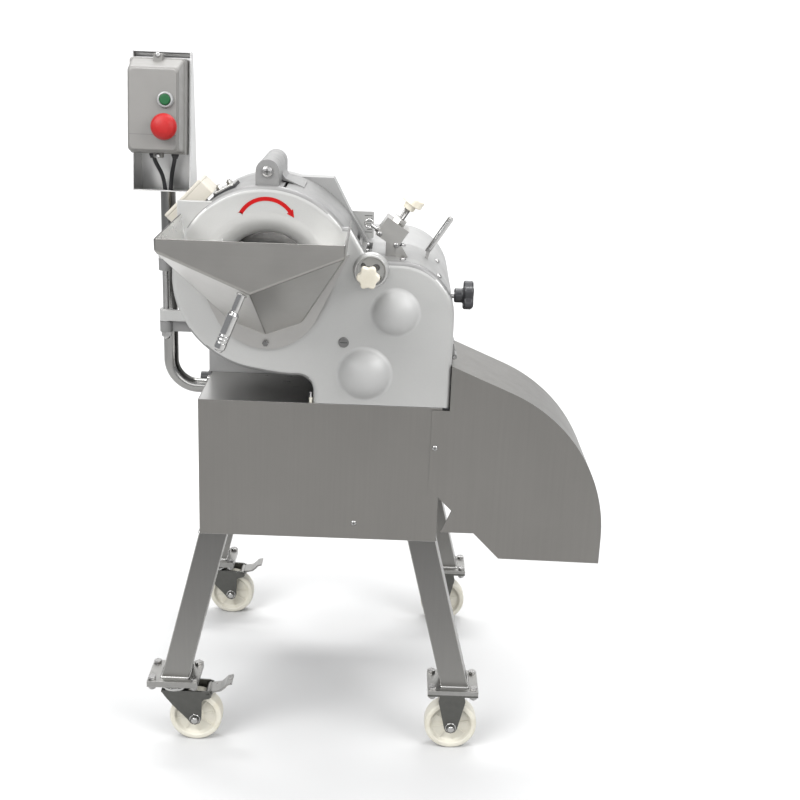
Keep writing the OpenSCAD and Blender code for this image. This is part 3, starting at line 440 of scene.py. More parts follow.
def star(r, n, lobe, steps=14, power=0.72):
    """smooth star outline with n lobes"""
    pts = []
    for i in range(n * steps):
        t = 2 * math.pi * i / (n * steps)
        w = 0.5 + 0.5 * math.cos(n * t)
        pts.append(((r - lobe * (1 - w ** power)) * math.cos(t), (r - lobe * (1 - w ** power)) * math.sin(t)))
    return pts


def arc(cx, cz, r, a0, a1, n):
    return [
        (cx + r * math.cos(math.radians(a0 + (a1 - a0) * i / n)), cz + r * math.sin(math.radians(a0 + (a1 - a0) * i / n)))
        for i in range(n + 1)
    ]


def rounded_levels(h0, h1, r0, r1, n=4):
    """levels of a prism from h0 to h1 with rounded ends of radius r0 and r1"""
    s = 1 if h1 > h0 else -1
    out = []
    if r0 > 0:
        for k in range(n + 1):
            a = math.pi / 2 * k / n
            out.append((r0 * (1 - math.sin(a)), h0 + s * r0 * (1 - math.cos(a))))
    else:
        out.append((0, h0))
    if r1 > 0:
        for k in range(n + 1):
            a = math.pi / 2 * k / n
            out.append((r1 * (1 - math.cos(a)), h1 - s * r1 * (1 - math.sin(a))))
    else:
        out.append((0, h1))
    return out


def tube(bm, pts, r, seg=16, mat=0, cap=True):
    """round tube along a list of points in metres"""
    pts = [Vector(p) for p in pts]
    rings = []
    t0 = (pts[1] - pts[0]).normalized()
    u = basis(t0)[0]
    for i, p in enumerate(pts):
        a = pts[max(i - 1, 0)]
        b = pts[min(i + 1, len(pts) - 1)]
        t = (b - a).normalized()
        u = (u - t * u.dot(t)).normalized()
        v = t.cross(u)
        rr = r[i] if isinstance(r, (list, tuple)) else r
        rings.append(
            [bm.verts.new(p + (u * math.cos(2 * math.pi * k / seg) + v * math.sin(2 * math.pi * k / seg)) * rr) for k in range(seg)]
        )
    for a, b in zip(rings, rings[1:]):
        for k in range(seg):
            f = bm.faces.new((a[k], a[(k + 1) % seg], b[(k + 1) % seg], b[k]))
            f.material_index = mat
    if cap:
        for ring in (rings[0][::-1], rings[-1]):
            f = bm.faces.new(ring)
            f.material_index = mat


def weighted(ob):
    w = ob.modifiers.new("normals", "WEIGHTED_NORMAL")
    w.mode = "FACE_AREA"
    w.weight = 60
    w.keep_sharp = True


def make(name, bm, mats, body, node=None, sharp=40, bevel=0.0, seg=2, limit=35, sub=0):
    bmesh.ops.recalc_face_normals(bm, faces=bm.faces[:])
    me = bpy.data.meshes.new(name)
    bm.to_mesh(me)
    bm.free()
    for m in mats if isinstance(mats, (list, tuple)) else [mats]:
        me.materials.append(m)
    me.shade_smooth()
    if not bevel and not sub and sharp:
        me.set_sharp_from_angle(angle=math.radians(sharp))
    ob = bpy.data.objects.new(name, me)
    SCENE.collection.objects.link(ob)
    if bevel:
        b = ob.modifiers.new("bevel", "BEVEL")
        b.width = bevel * MM
        b.segments = seg
        b.limit_method = "ANGLE"
        b.angle_limit = math.radians(limit)
    if sub:
        s = ob.modifiers.new("subdivision", "SUBSURF")
        s.levels = s.render_levels = sub
    weighted(ob)
    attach(ob, body)
    if node:
        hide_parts(*([node] if isinstance(node, str) else node))
    return ob


BODY_OF = {n: b for b, ns in frame["record"]["behaviour"]["bodies"].items() for n in ns}


def dress(node, mats, bevel=0.0, seg=2, limit=32, edge=False, planar=True):
    """a CAD node that stays: its finish, and softened edges where it is sheet or machined"""
    ob = NODES[node]
    mats = list(mats) if isinstance(mats, (list, tuple)) else [mats]
    ob.data.materials.clear()
    for m in mats:
        ob.data.materials.append(m)
    w = ob.modifiers.new("weld", "WELD")
    w.merge_threshold = 0.00002
    if bevel and planar:
        d = ob.modifiers.new("planar", "DECIMATE")
        d.decimate_type = "DISSOLVE"
        d.angle_limit = math.radians(0.6)
    if bevel:
        b = ob.modifiers.new("bevel", "BEVEL")
        b.width = bevel * MM
        b.segments = seg
        b.limit_method = "ANGLE"
        b.angle_limit = math.radians(limit)
        # the bevel faces take the last material, the lighter edge steel: painted highlight along the edges
        if edge:
            b.material = len(mats) - 1
    weighted(ob)
    return ob


# ------------------------------------------------------------------- stage
def stage():
    m = Mat("studio_floor")
    n = m.noise(3, 3, 0.5)
    m.colour(m.ramp(n, [(0.3, (0.46, 0.46, 0.458)), (0.7, (0.475, 0.475, 0.473))]))
    m.rough(m.span(n, 0.75, 0.85))
    bm = bmesh.new()
    prof = [(-7.0, 0.0), (2.4, 0.0)]
    for k in range(1, 13):
        a = math.pi / 2 * k / 12
        prof.append((2.4 + 2.4 * math.sin(a), 2.4 - 2.4 * math.cos(a)))
    prof.append((4.8, 7.5))
    rows = [[bm.verts.new((x, y, z)) for x in (-9.0, -3.0, 3.0, 9.0)] for y, z in prof]
    for a, b in zip(rows, rows[1:]):
        for i in range(3):
            bm.faces.new((a[i], a[i + 1], b[i + 1], b[i]))
    me = bpy.data.meshes.new("studio_sweep")
    bm.to_mesh(me)
    bm.free()
    me.materials.append(m.m)
    me.shade_smooth()
    ob = bpy.data.objects.new("studio_sweep", me)
    SCENE.collection.objects.link(ob)
    w = bpy.data.worlds.new("studio") if SCENE.world is None else SCENE.world
    SCENE.world = w
    w.use_nodes = True
    bg = w.node_tree.nodes["Background"]
    bg.inputs["Color"].default_value = (0.93, 0.95, 1.0, 1)
    bg.inputs["Strength"].default_value = 0.52
    SCENE.view_settings.view_transform = "Standard"
    SCENE.view_settings.look = "None"

    def lamp(name, loc, target, size, power, tint=(1, 1, 1)):
        l = bpy.data.lights.new(name, "AREA")
        l.shape = "RECTANGLE"
        l.size, l.size_y = size
        l.energy = power
        l.color = tint
        o = bpy.data.objects.new(name, l)
        SCENE.collection.objects.link(o)
        o.location = loc
        o.rotation_mode = "QUATERNION"
        o.rotation_quaternion = (Vector(target) - Vector(loc)).to_track_quat("-Z", "Y")

    lamp("key_left", (-2.2, -2.3, 3.3), (0, 0.0, 0.7), (2.4, 2.2), 185)
    lamp("fill_right", (2.6, -1.9, 2.8), (0.1, 0, 0.7), (2.0, 2.2), 120)
    lamp("overhead", (0.1, -0.2, 3.6), (0, -0.1, 0), (3.6, 2.8), 78)
    lamp("sweep", (0.0, 2.6, 5.2), (0, 4.4, 1.2), (6.0, 1.2), 470)
    lamp("front_low", (0.2, -4.4, 1.7), (0, 0, 0.5), (3.2, 1.6), 40)


stage()

# ------------------------------------------------ sheet metal and castings
dress("base_cabinet", (STEEL_V, STEEL_EDGE), 1.0, 3, edge=True)
dress("cabinet_floor", STEEL_H, 0.8)
dress("rear_panel", (STEEL_V, STEEL_EDGE), 0.7, 2, edge=True)
dress("legs", (STEEL_LEG_SHADED_TOP, STEEL_EDGE), 3.0, 3, edge=True)
dress("foot_plates", (STEEL_CAST, STEEL_EDGE), 1.2, 2, edge=True)
dress("caster_bolts", MACHINED, 0.5)
dress("swivel_plates", STEEL_CAST, 1.0)
for n in ("front_left_fork", "rear_left_fork", "fixed_forks"):
    dress(n, (FORK, STEEL_EDGE), 0.9, 2, edge=True)
for n in ("front_left_brake", "rear_left_brake"):
    dress(n, (STEEL_CAST, STEEL_EDGE), 0.8, 2, edge=True)
dress("discharge_chute", (STEEL_V, STEEL_EDGE), 0.5, 2, edge=True, planar=False)
dress("discharge_slide", STEEL_D, 0.6)
dress("rear_housing", PAINT_REAR_SHADED, 3.0, 3, 40)
dress("rear_cover", (PAINT_REAR_SHADED, STEEL_EDGE), 1.0)
dress("gearbox_plate", DARKSTEEL_AND_SHADE, 0.8)
dress("shaft_bearings", MACHINED)
dress("drum_shell", PAINT_TOP_SHADED, 2.0, 3, 40)
dress("slice_gate", PAINT_TOP_SHADED, 2.0, 3, 40)
dress("hinge_pins", MACHINED, 0.6)
dress("slicing_knife", MACHINED, 0.5)
dress("impeller", DARKSTEEL_AND_SHADE, 1.2)
dress("main_shaft", MACHINED, 0.6)
dress("feed_roller", MACHINED, 0.4)
dress("disc_knives", MACHINED)
dress("crosscut_rotor", MACHINED, 0.4)
dress("crosscut_drive", DARKSTEEL_AND_SHADE, 0.4)
dress("motor", MOTOR, 0.8)
dress("motor_pulley", IRON, 0.5)
dress("drive_belts", RUBBER, 0.8)
dress("hopper_flange", (FLANGE, STEEL_EDGE), 0.8, 2, edge=True)
dress("hood", (PAINT_HOOD_SHADED, STEEL_EDGE), 0.8, 2, edge=True)
dress("hood_lever", CHROME, 0.8, 2)
dress("clamp_block", (STEEL_BLOCK, STEEL_EDGE), 1.4, 3, edge=True)
dress("clamp_pin", CHROME)
dress("thickness_scale", PAINT, 0.4)
dress("control_pole", STEEL_TUBE)
dress("control_bracket", (STEEL_TRAY, STEEL_EDGE), 0.9, 2, edge=True)
dress("control_base", BOXGREY, 2.0, 3)
dress("supply_gland", BLACK, 0.6)


# -------------------------------------------------------------------- door
def door():
    out = []
    out += [(107.5, 684.0), (107.5, 760), (107.5, 810)]
    out += arc(12.5, 854, 95, 0, 90, 28)
    out += arc(-37, 933, 30, 32.2, 108, 14)
    out += [(-72, 1003.5)]
    out += arc(DX, DZ, 160, 36.6, 262, 108)
    out += [(-212, 745.6), (-190, 742.6), (-172, 741.6)]
    out += arc(-159, 714, 28, 84, 0, 10)
    out += [(-131, 684.0), (-60, 684.0), (30, 684.0)]
    bm = bmesh.new()
    place = lambda x, z, h: P(x, h, z)
    levels = [(0.0, 10.0), (0.0, 9.2)]
    for k in range(1, 8):
        a = math.pi / 2 * k / 7
        levels.append((11.0 * (1 - math.cos(a)), 9.2 - 9.2 * math.sin(a)))
    loops = loft(bm, out, levels, place, cap0=False, cap1=False)
    # the foot is cut straight, just clear of the cabinet
    foot = P(0, 0, 694.5).z
    for v in bm.verts:
        v.co.z = max(v.co.z, foot)
    # opening edge of the bell mouth, then the flat face between them
    seg = 128
    ring = [bm.verts.new(P(DX + 119 * math.cos(2 * math.pi * k / seg), 0, DZ + 119 * math.sin(2 * math.pi * k / seg))) for k in range(seg)]
    edges = []
    last = loops[-1]
    for i in range(len(last)):
        edges.append(bm.edges.get((last[i], last[(i + 1) % len(last)])))
    for k in range(seg):
        edges.append(bm.edges.new((ring[k], ring[(k + 1) % seg])))
    bmesh.ops.triangle_fill(bm, use_beauty=True, use_dissolve=False, edges=edges)
    # back face
    first = loops[0]
    ring2 = [bm.verts.new(P(DX + 117 * math.cos(2 * math.pi * k / seg), 10, DZ + 117 * math.sin(2 * math.pi * k / seg))) for k in range(seg)]
    edges = [bm.edges.get((first[i], first[(i + 1) % len(first)])) for i in range(len(first))]
    edges += [bm.edges.new((ring2[k], ring2[(k + 1) % seg])) for k in range(seg)]
    bmesh.ops.triangle_fill(bm, use_beauty=True, use_dissolve=False, edges=edges)
    # bell mouth, swept in from the face to the feed opening and back
    prof = [(119, 0), (114, 0.25), (108, 1.2), (103, 2.8), (98, 5), (93, 8), (89, 11.2), (85, 15.2), (82, 20), (79.7, 26), (78, 32), (80.5, 33), (83, 32), (87, 24), (93, 17), (101, 12), (110, 10.2), (117, 10)]
    prev = ring
    for i, (r, h) in enumerate(prof[1:-1]):
        cur = [bm.verts.new(P(DX + r * math.cos(2 * math.pi * k / seg), h, DZ + r * math.sin(2 * math.pi * k / seg))) for k in range(seg)]
        for k in range(seg):
            bm.faces.new((prev[k], prev[(k + 1) % seg], cur[(k + 1) % seg], cur[k]))
        prev = cur
    for k in range(seg):
        bm.faces.new((prev[k], prev[(k + 1) % seg], ring2[(k + 1) % seg], ring2[k]))
    # the rolled rim's upper and lower rounds take the darker top enamel: painted shade on the rim
    bm.normal_update()
    for fc in bm.faces:
        c = fc.calc_center_median()
        if abs(fc.normal.z) > 0.35 and (c - P(DX, 0, DZ)).length > 0.14:
            fc.material_index = 1
    ob = make("door_casting", bm, [PAINT, PAINT_TOP_SHADED], "front_door", "front_cover", sharp=42)
    # the flat wing at the upper left, set back from the rim
    bm = bmesh.new()
    wing = [(-362, 1038), (-362, 950), (-330, 905), (-285, 960), (-285, 1038)]
    loft(bm, wing, [(0, 10), (0, 5.0), (0.5, 3.9), (1.6, 3.4)], place)
    make("door_wing", bm, [PAINT], "front_door", sharp=50)
    # domes over the spindle ends, with a soft run-out
    for nm, cx, cz, a, h in (("upper", 6.8, 861, 40, 20), ("lower", -43, 750.5, 45.5, 24)):
        bm = bmesh.new()
        rs = (a * a + h * h) / (2 * h)
        prof = [(0, h)]
        for k in range(1, 22):
            t = k / 21
            r = a * 0.94 * t
            prof.append((r, h - (rs - math.sqrt(rs * rs - r * r))))
        r0, h0 = prof[-1]
        for k in range(1, 8):
            t = k / 7
            prof.append((r0 + (a + 5.0 - r0) * t, h0 * (1 - t) ** 2.1 - 0.06))
        prof.append((a + 5.4, -1.2))
        lathe(bm, P(cx, 0, cz), (0, -1, 0), prof, 72, cap=False)
        make("door_dome_" + nm, bm, [PAINT_DOME], "front_door", sharp=0)
    # lock boss: raised rim, recess and pockets
    bm = bmesh.new()
    prof = soft([(31.0, -1), (29.4, 3.0), (28.0, 11.6), (24.4, 12), (23.2, 5.0), (0, 5.0)], [0, 2.5, 1.6, 1.6, 1.2, 0], 4)
    lathe(bm, P(-37, 0, 933), (0, -1, 0), prof, 64, cap=False)
    make("door_boss", bm, [PAINT], "front_door", sharp=60)
    # dark discs with a rim in the three pockets of the boss: painted shade of the holes
    bm = bmesh.new()
    for ox, oz, r in ((8.8, 6.5, 6.2), (-13.0, 9.0, 4.4), (13.5, -11.0, 4.4)):
        c = P(-37 + ox, -5.0, 933 + oz)
        lathe(bm, c, (0, -1, 0), soft([(r, -0.2), (r, 0.7), (r * 0.84, 1.3), (r * 0.66, 0.5), (r * 0.6, 0.1), (0, 0.1)], 0.4, 3), 28, cap=False)
    make("boss_pocket_shades", bm, [DARKSTEEL_AND_SHADE], "front_door", sharp=45)
    # hinge knuckles
    bm = bmesh.new()
    for z0, z1 in ((830, 851), (938, 957)):
        lathe(bm, P(-385, 14, z0), (0, 0, 1), soft([(5.1, 0), (11, 0), (11, z1 - z0), (5.1, z1 - z0)], 1.4, 3), 32, cap=False)
        out = rrect(-385, -344, z0 + 1, z1 - 1, 2.0)
        loft(bm, out, [(0.0, 10), (0.0, 4.2), (0.9, 3.2)], place)
    make("door_hinge_arms", bm, [PAINT], "front_door", sharp=45)
    # rotation arrow: plain bent band, pointed to the right, notched tail
    bm = bmesh.new()
    cx, cz, r, w = DX, 998.0, 48.5, 3.4
    up, lo = [], []
    for k in range(33):
        a = math.radians(152 - (152 - 37) * k / 32)
        up.append((cx + (r + w) * math.cos(a), cz + (r + w) * math.sin(a)))
        lo.append((cx + (r - w) * math.cos(a), cz + (r - w) * math.sin(a)))
    a = math.radians(37)
    tip = math.radians(22)
    head = [
        (cx + (r + 6.6) * math.cos(a), cz + (r + 6.6) * math.sin(a)),
        (cx + (r + 1) * math.cos(tip), cz + (r + 1) * math.sin(tip)),
        (cx + (r - 6.6) * math.cos(a), cz + (r - 6.6) * math.sin(a)),
    ]
    b = math.radians(149)
    tail = [(cx + (r - 5.2) * math.cos(math.radians(155)), cz + (r - 5.2) * math.sin(math.radians(155))), (cx + r * math.cos(b), cz + r * math.sin(b)), (cx + (r + 5.2) * math.cos(math.radians(155)), cz + (r + 5.2) * math.sin(math.radians(155)))]
    strip_a = [bm.verts.new(P(x, -0.35, z)) for x, z in up]
    strip_b = [bm.verts.new(P(x, -0.35, z)) for x, z in lo]
    for i in range(32):
        bm.faces.new((strip_a[i], strip_a[i + 1], strip_b[i + 1], strip_b[i]))
    hv = [bm.verts.new(P(x, -0.35, z)) for x, z in head]
    bm.faces.new((strip_a[-1], hv[0], hv[1], hv[2], strip_b[-1]))
    tv = [bm.verts.new(P(x, -0.35, z)) for x, z in tail]
    bm.faces.new((tv[0], tv[1], strip_b[0]))
    bm.faces.new((tv[1], strip_a[0], strip_b[0]))
    bm.faces.new((tv[1], tv[2], strip_a[0]))
    ret = bmesh.ops.extrude_face_region(bm, geom=bm.faces[:])
    for v in [g for g in ret["geom"] if isinstance(g, bmesh.types.BMVert)]:
        v.co.y += 0.0003
    make("rotation_arrow", bm, [ARROW], "front_door", sharp=40)


door()


# ------------------------------------------------------------------ hopper
def hopper():
    f = [(-142, 1017), (-142, 999), (0, 939), (142, 999), (142, 1017)]
    r = [(-142, 1017), (-135, 960), (-62, 840), (0, 817), (62, 840), (135, 960), (142, 1017)]
    bm = bmesh.new()
    F = [bm.verts.new(P(DX + x, -235, z)) for x, z in f]
    R = [bm.verts.new(P(DX + x, -6.1, z)) for x, z in r]
    bm.faces.new((F[0], F[1], F[2], F[3], F[4]))
    bm.faces.new((F[0], R[0], R[1], F[1]))
    bm.faces.new((F[1], R[1], R[2]))
    bm.faces.new((F[1], R[2], F[2]))
    bm.faces.new((F[2], R[2], R[3]))
    bm.faces.new((F[2], R[3], R[4]))
    bm.faces.new((F[2], R[4], F[3]))
    bm.faces.new((F[3], R[4], R[5]))
    bm.faces.new((F[3], R[5], R[6], F[4]))
    bmesh.ops.recalc_face_normals(bm, faces=bm.faces[:])
    me = bpy.data.meshes.new("hopper_sheet")
    bm.to_mesh(me)
    bm.free()
    me.materials.append(STEEL_HOP)
    me.materials.append(STEEL_RIM_SHADED)
    me.materials.append(STEEL_HOP_INSIDE_REFLECTION)
    for m in (STEEL_HOP_LOWER_LIT, STEEL_RIM_SHADED, STEEL_HOP_INSIDE_REFLECTION):
        me.materials.append(m)
    # the lower facets take the lighter copy: painted light on them
    for k in range(2, 8):
        me.polygons[k].material_index = 3
    me.shade_smooth()
    ob = bpy.data.objects.new("hopper_sheet", me)
    SCENE.collection.objects.link(ob)
    b = ob.modifiers.new("folds", "BEVEL")
    b.width = 0.0035
    b.segments = 3
    b.limit_method = "ANGLE"
    b.angle_limit = math.radians(7)
    b.material = 0
    s = ob.modifiers.new("sheet", "SOLIDIFY")
    s.thickness = 0.002
    s.offset = -1
    s.use_even_offset = True
    # the cut edges of the sheet take the dark rim copy: painted shade
    s.material_offset_rim = 1
    # the inner side of the sheet takes the near-white inside copy: painted reflection
    s.material_offset = 2
    weighted(ob)
    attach(ob, "front_door")
    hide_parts("hopper")
    # hem along the three free top edges, in the dark rim copy: painted shade on it
    bm = bmesh.new()
    pts = [P(DX - 142 + 1, -8, 1017)]
    pts += [P(DX - 142 + 1, -228, 1017), P(DX - 142 + 1.7, -232.6, 1017), P(DX - 142 + 6, -234, 1017)]
    pts += [P(DX + 142 - 6, -234, 1017), P(DX + 142 - 1.7, -232.6, 1017), P(DX + 142 - 1, -228, 1017), P(DX + 142 - 1, -8, 1017)]
    tube(bm, pts, 0.00105, 10)
    make("hopper_hem", bm, [STEEL_RIM_SHADED], "front_door", sharp=60)


hopper()


def handle():
    bm = bmesh.new()
    p = Vector((-229.0, -212.0, 929.5))
    d = Vector((-0.372, -0.06, -0.926)).normalized()
    hn = Vector((-0.3497, -0.4505, -0.8217))
    base = P(*p)
    prof = [(6.5, -6.0), (6.5, 22), (6.2, 23), (6.2, 25), (9, 29.5), (9, 62), (8.4, 62.8), (8.4, 64.2), (9, 65), (9, 68), (8.4, 68.8), (8.4, 70.2), (9, 71), (9, 74), (8.4, 74.8), (8.4, 76.2), (9, 77), (9, 86), (7.6, 88.2), (6.5, 88.4), (6.5, 90.6), (5.4, 92), (0, 92)]
    lathe(bm, base, d, soft(prof, 0.6, 2), 40, cap=False)
    # bead where the bar meets the sheet
    c = P(*(p - d * 3.3))
    u, v, a = basis(hn)
    ring = []
    for k in range(49):
        t = 2 * math.pi * k / 48
        q = u * math.cos(t) + v * math.sin(t)
        q = q * (6.9 + 0.5 * math.sin(9 * t) * 0.4)
        ring.append(c + q * MM + hn * 0.0008)
    tube(bm, ring, 0.0013, 8, cap=False)
    make("hopper_pull_bar", bm, [CHROME], "front_door", "hopper_handle", sharp=50)


handle()


# ------------------------------------------------------------- round knobs
def knobs():
    # cream door knob with six lobes on its stud
    bm = bmesh.new()
    kx, kz = -40.5, 930.0
    place = lambda x, z, h: P(kx + x, -h, kz + z)
    loft(bm, star(19.5, 6, 3.9, 18, 0.95), rounded_levels(34, 52, 2.0, 2.4, 5), place)
    lathe(bm, P(kx, 0, kz), (0, -1, 0), soft([(5.1, 22), (9.2, 22), (10, 23.5), (11, 34.5)], 0.8, 3), 40, cap=False)
    make("door_star", bm, [CREAM], "door_star_knob", "lock_knob", sharp=38)
    bm = bmesh.new()
    prof = [(0, -34), (4.2, -34), (5, -33)]
    h = -32.0
    while h < -17:
        prof += [(5, h), (4.5, h + 0.7), (5, h + 1.4)]
        h += 1.5
    prof += [(5, -16), (5, 5.3), (11, 5.3), (11, 9.5), (5, 9.5)]
    h = 10.0
    while h < 21:
        prof += [(5, h), (4.45, h + 0.7), (5, h + 1.4)]
        h += 1.5
    prof += [(5, 23), (0, 23)]
    lathe(bm, P(kx, 0, kz), (0, -1, 0), prof, 36, cap=False)
    make("door_stud", bm, [MACHINED], "door_star_knob", sharp=40)
    # cream clamp knob
    bm = bmesh.new()
    place = lambda x, y, h: CLAMP(x, 62 + y, h)
    loft(bm, star(18.5, 8, 0.9, 12, 0.9), rounded_levels(56, 70, 1.6, 2.6, 5), place)
    ax = CLAMP(0, 0, 1) - CLAMP(0, 0, 0)
    c0 = CLAMP(0, 62, 0)
    lathe(bm, c0, ax, soft([(6.1, 46), (9.4, 46), (10.4, 47.2), (10.8, 56.5)], 0.8, 3), 40, cap=False)
    make("clamp_star", bm, [CREAM], "clamp_star_knob", "clamp_knob", sharp=38)
    bm = bmesh.new()
    prof = [(0, -8), (5, -8), (6, -7)]
    h = -6.5
    while h < 45.5:
        prof += [(6, h), (5.35, h + 0.85), (6, h + 1.7)]
        h += 1.8
    prof += [(6, 47), (0, 47)]
    lathe(bm, c0, ax, prof, 32, cap=False)
    make("clamp_screw", bm, [MACHINED], "clamp_star_knob", sharp=40)
    # black hood knob
    bm = bmesh.new()
    place = lambda y, z, h: P(h, 60 + y, 882 + z)
    loft(bm, star(26.5, 5, 6.8, 18), rounded_levels(123.5, 141, 4.0, 4.6, 6), place)
    lathe(bm, P(0, 60, 882), (1, 0, 0), soft([(5.1, 107.9), (11.2, 107.9), (12.5, 109.5), (12.5, 121), (15, 125)], 1.0, 3), 40, cap=False)
    lathe(bm, P(0, 60, 882), (1, 0, 0), soft([(9, 140.9), (8.2, 141.2), (6.6, 139.6), (0, 139.4)], 0.5, 3), 40, cap=False)
    make("hood_star", bm, [BLACK], "hood_star_knob", "hood_knob", sharp=38)
    bm = bmesh.new()
    lathe(bm, P(0, 60, 882), (1, 0, 0), soft([(0, 101), (4.4, 101), (5, 102), (5, 110), (0, 110)], 0.3, 2), 32, cap=False)
    make("hood_stud", bm, [MACHINED], "hood_star_knob", sharp=40)


knobs()


# ------------------------------------------------------------------ wheels
def wheel(name, x, y, body, node):
    bm = bmesh.new()
    half = [(5.08, 18.9), (11.6, 18.9), (13.0, 17.6), (13.6, 10.6), (15.5, 9.3), (33.5, 8.1), (36.5, 9.4), (39.6, 15.0), (41.0, 15.9), (46.3, 15.9), (48.6, 14.9), (49.7, 12.4), (50.0, 8.0), (50.0, 0.0)]
    prof = [(r, h) for r, h in half] + [(r, -h) for r, h in half[::-1][1:]]
    lathe(bm, P(x, y, 50), (0, 1, 0), soft(prof, [0] + [1.2] * (len(prof) - 2) + [0], 3), 72, cap=False)
    lathe(bm, P(x, y, 50), (0, 1, 0), [(5.08, -18.9), (5.08, 18.9)], 72, cap=False)
    # moulded ribs in the dished face
    for s in (-1, 1):
        for k in range(8):
            t = 2 * math.pi * k / 8 + 0.2
            cx, cz = math.cos(t), math.sin(t)
            q = [(14.2, -1.3), (35.5, -1.1), (35.5, 1.1), (14.2, 1.3)]
            lo, hi = [], []
            for rr, ww in q:
                px, pz = x + rr * cx - ww * cz, 50 + rr * cz + ww * cx
                lo.append(bm.verts.new(P(px, y + s * 7.4, pz)))
                hi.append(bm.verts.new(P(px, y + s * (10.6 if rr < 20 else 9.8), pz)))
            bm.faces.new(hi)
            for i in range(4):
                j = (i + 1) % 4
                bm.faces.new((lo[i], lo[j], hi[j], hi[i]))
    make(name, bm, [NYLON], body, node, sharp=38)


def caster_details():
    """polished ball-race rims on the swivels, washers and bolt ends on the axles"""
    for y, body in ((30, "front_left_swivel"), (545, "rear_left_swivel")):
        bm = bmesh.new()
        lathe(bm, P(-385, y, 0), (0, 0, 1), soft([(26.0, 110.4), (28.6, 111.0), (29.2, 114.2), (28.4, 116.9), (26.6, 117.5)], 1.0, 3), 64, cap=False)
        for s in (-1, 1):
            lathe(bm, P(-346, y + s * 24, 50), (0, s, 0), soft([(10.4, -0.1), (10.4, 1.1), (9.6, 1.6), (8.2, 1.6)], 0.4, 2), 40, cap=False)
            lathe(bm, P(-346, y + s * 30, 50), (0, s, 0), soft([(6.4, -0.2), (6.2, 1.0), (4.8, 2.0), (0, 2.4)], 0.7, 3), 32, cap=False)
        make(body + "_race", bm, [CHROME], body, sharp=45)
    bm = bmesh.new()
    for y in (30, 545):
        lathe(bm, P(-385, y, 0), (0, 0, 1), soft([(26.6, 118.2), (29.4, 118.9), (30.2, 122.0), (29.4, 125.0), (26.6, 125.9)], 1.2, 3), 64, cap=False)
        for s in (-1, 1):
            lathe(bm, P(142, y + s * 24, 50), (0, s, 0), soft([(10.4, -0.1), (10.4, 1.1), (9.6, 1.6), (8.2, 1.6)], 0.4, 2), 40, cap=False)
            lathe(bm, P(142, y + s * 30, 50), (0, s, 0), soft([(6.4, -0.2), (6.2, 1.0), (4.8, 2.0), (0, 2.4)], 0.7, 3), 32, cap=False)
    make("caster_races", bm, [CHROME], "machine_frame", sharp=45)


caster_details()
wheel("wheel_front_left", -346, 30, "front_left_roller", "front_left_wheel")
wheel("wheel_rear_left", -346, 545, "rear_left_roller", "rear_left_wheel")
wheel("wheel_front_right", 142, 30, "front_right_roller", "front_right_wheel")
wheel("wheel_rear_right", 142, 545, "rear_right_roller", "rear_right_wheel")


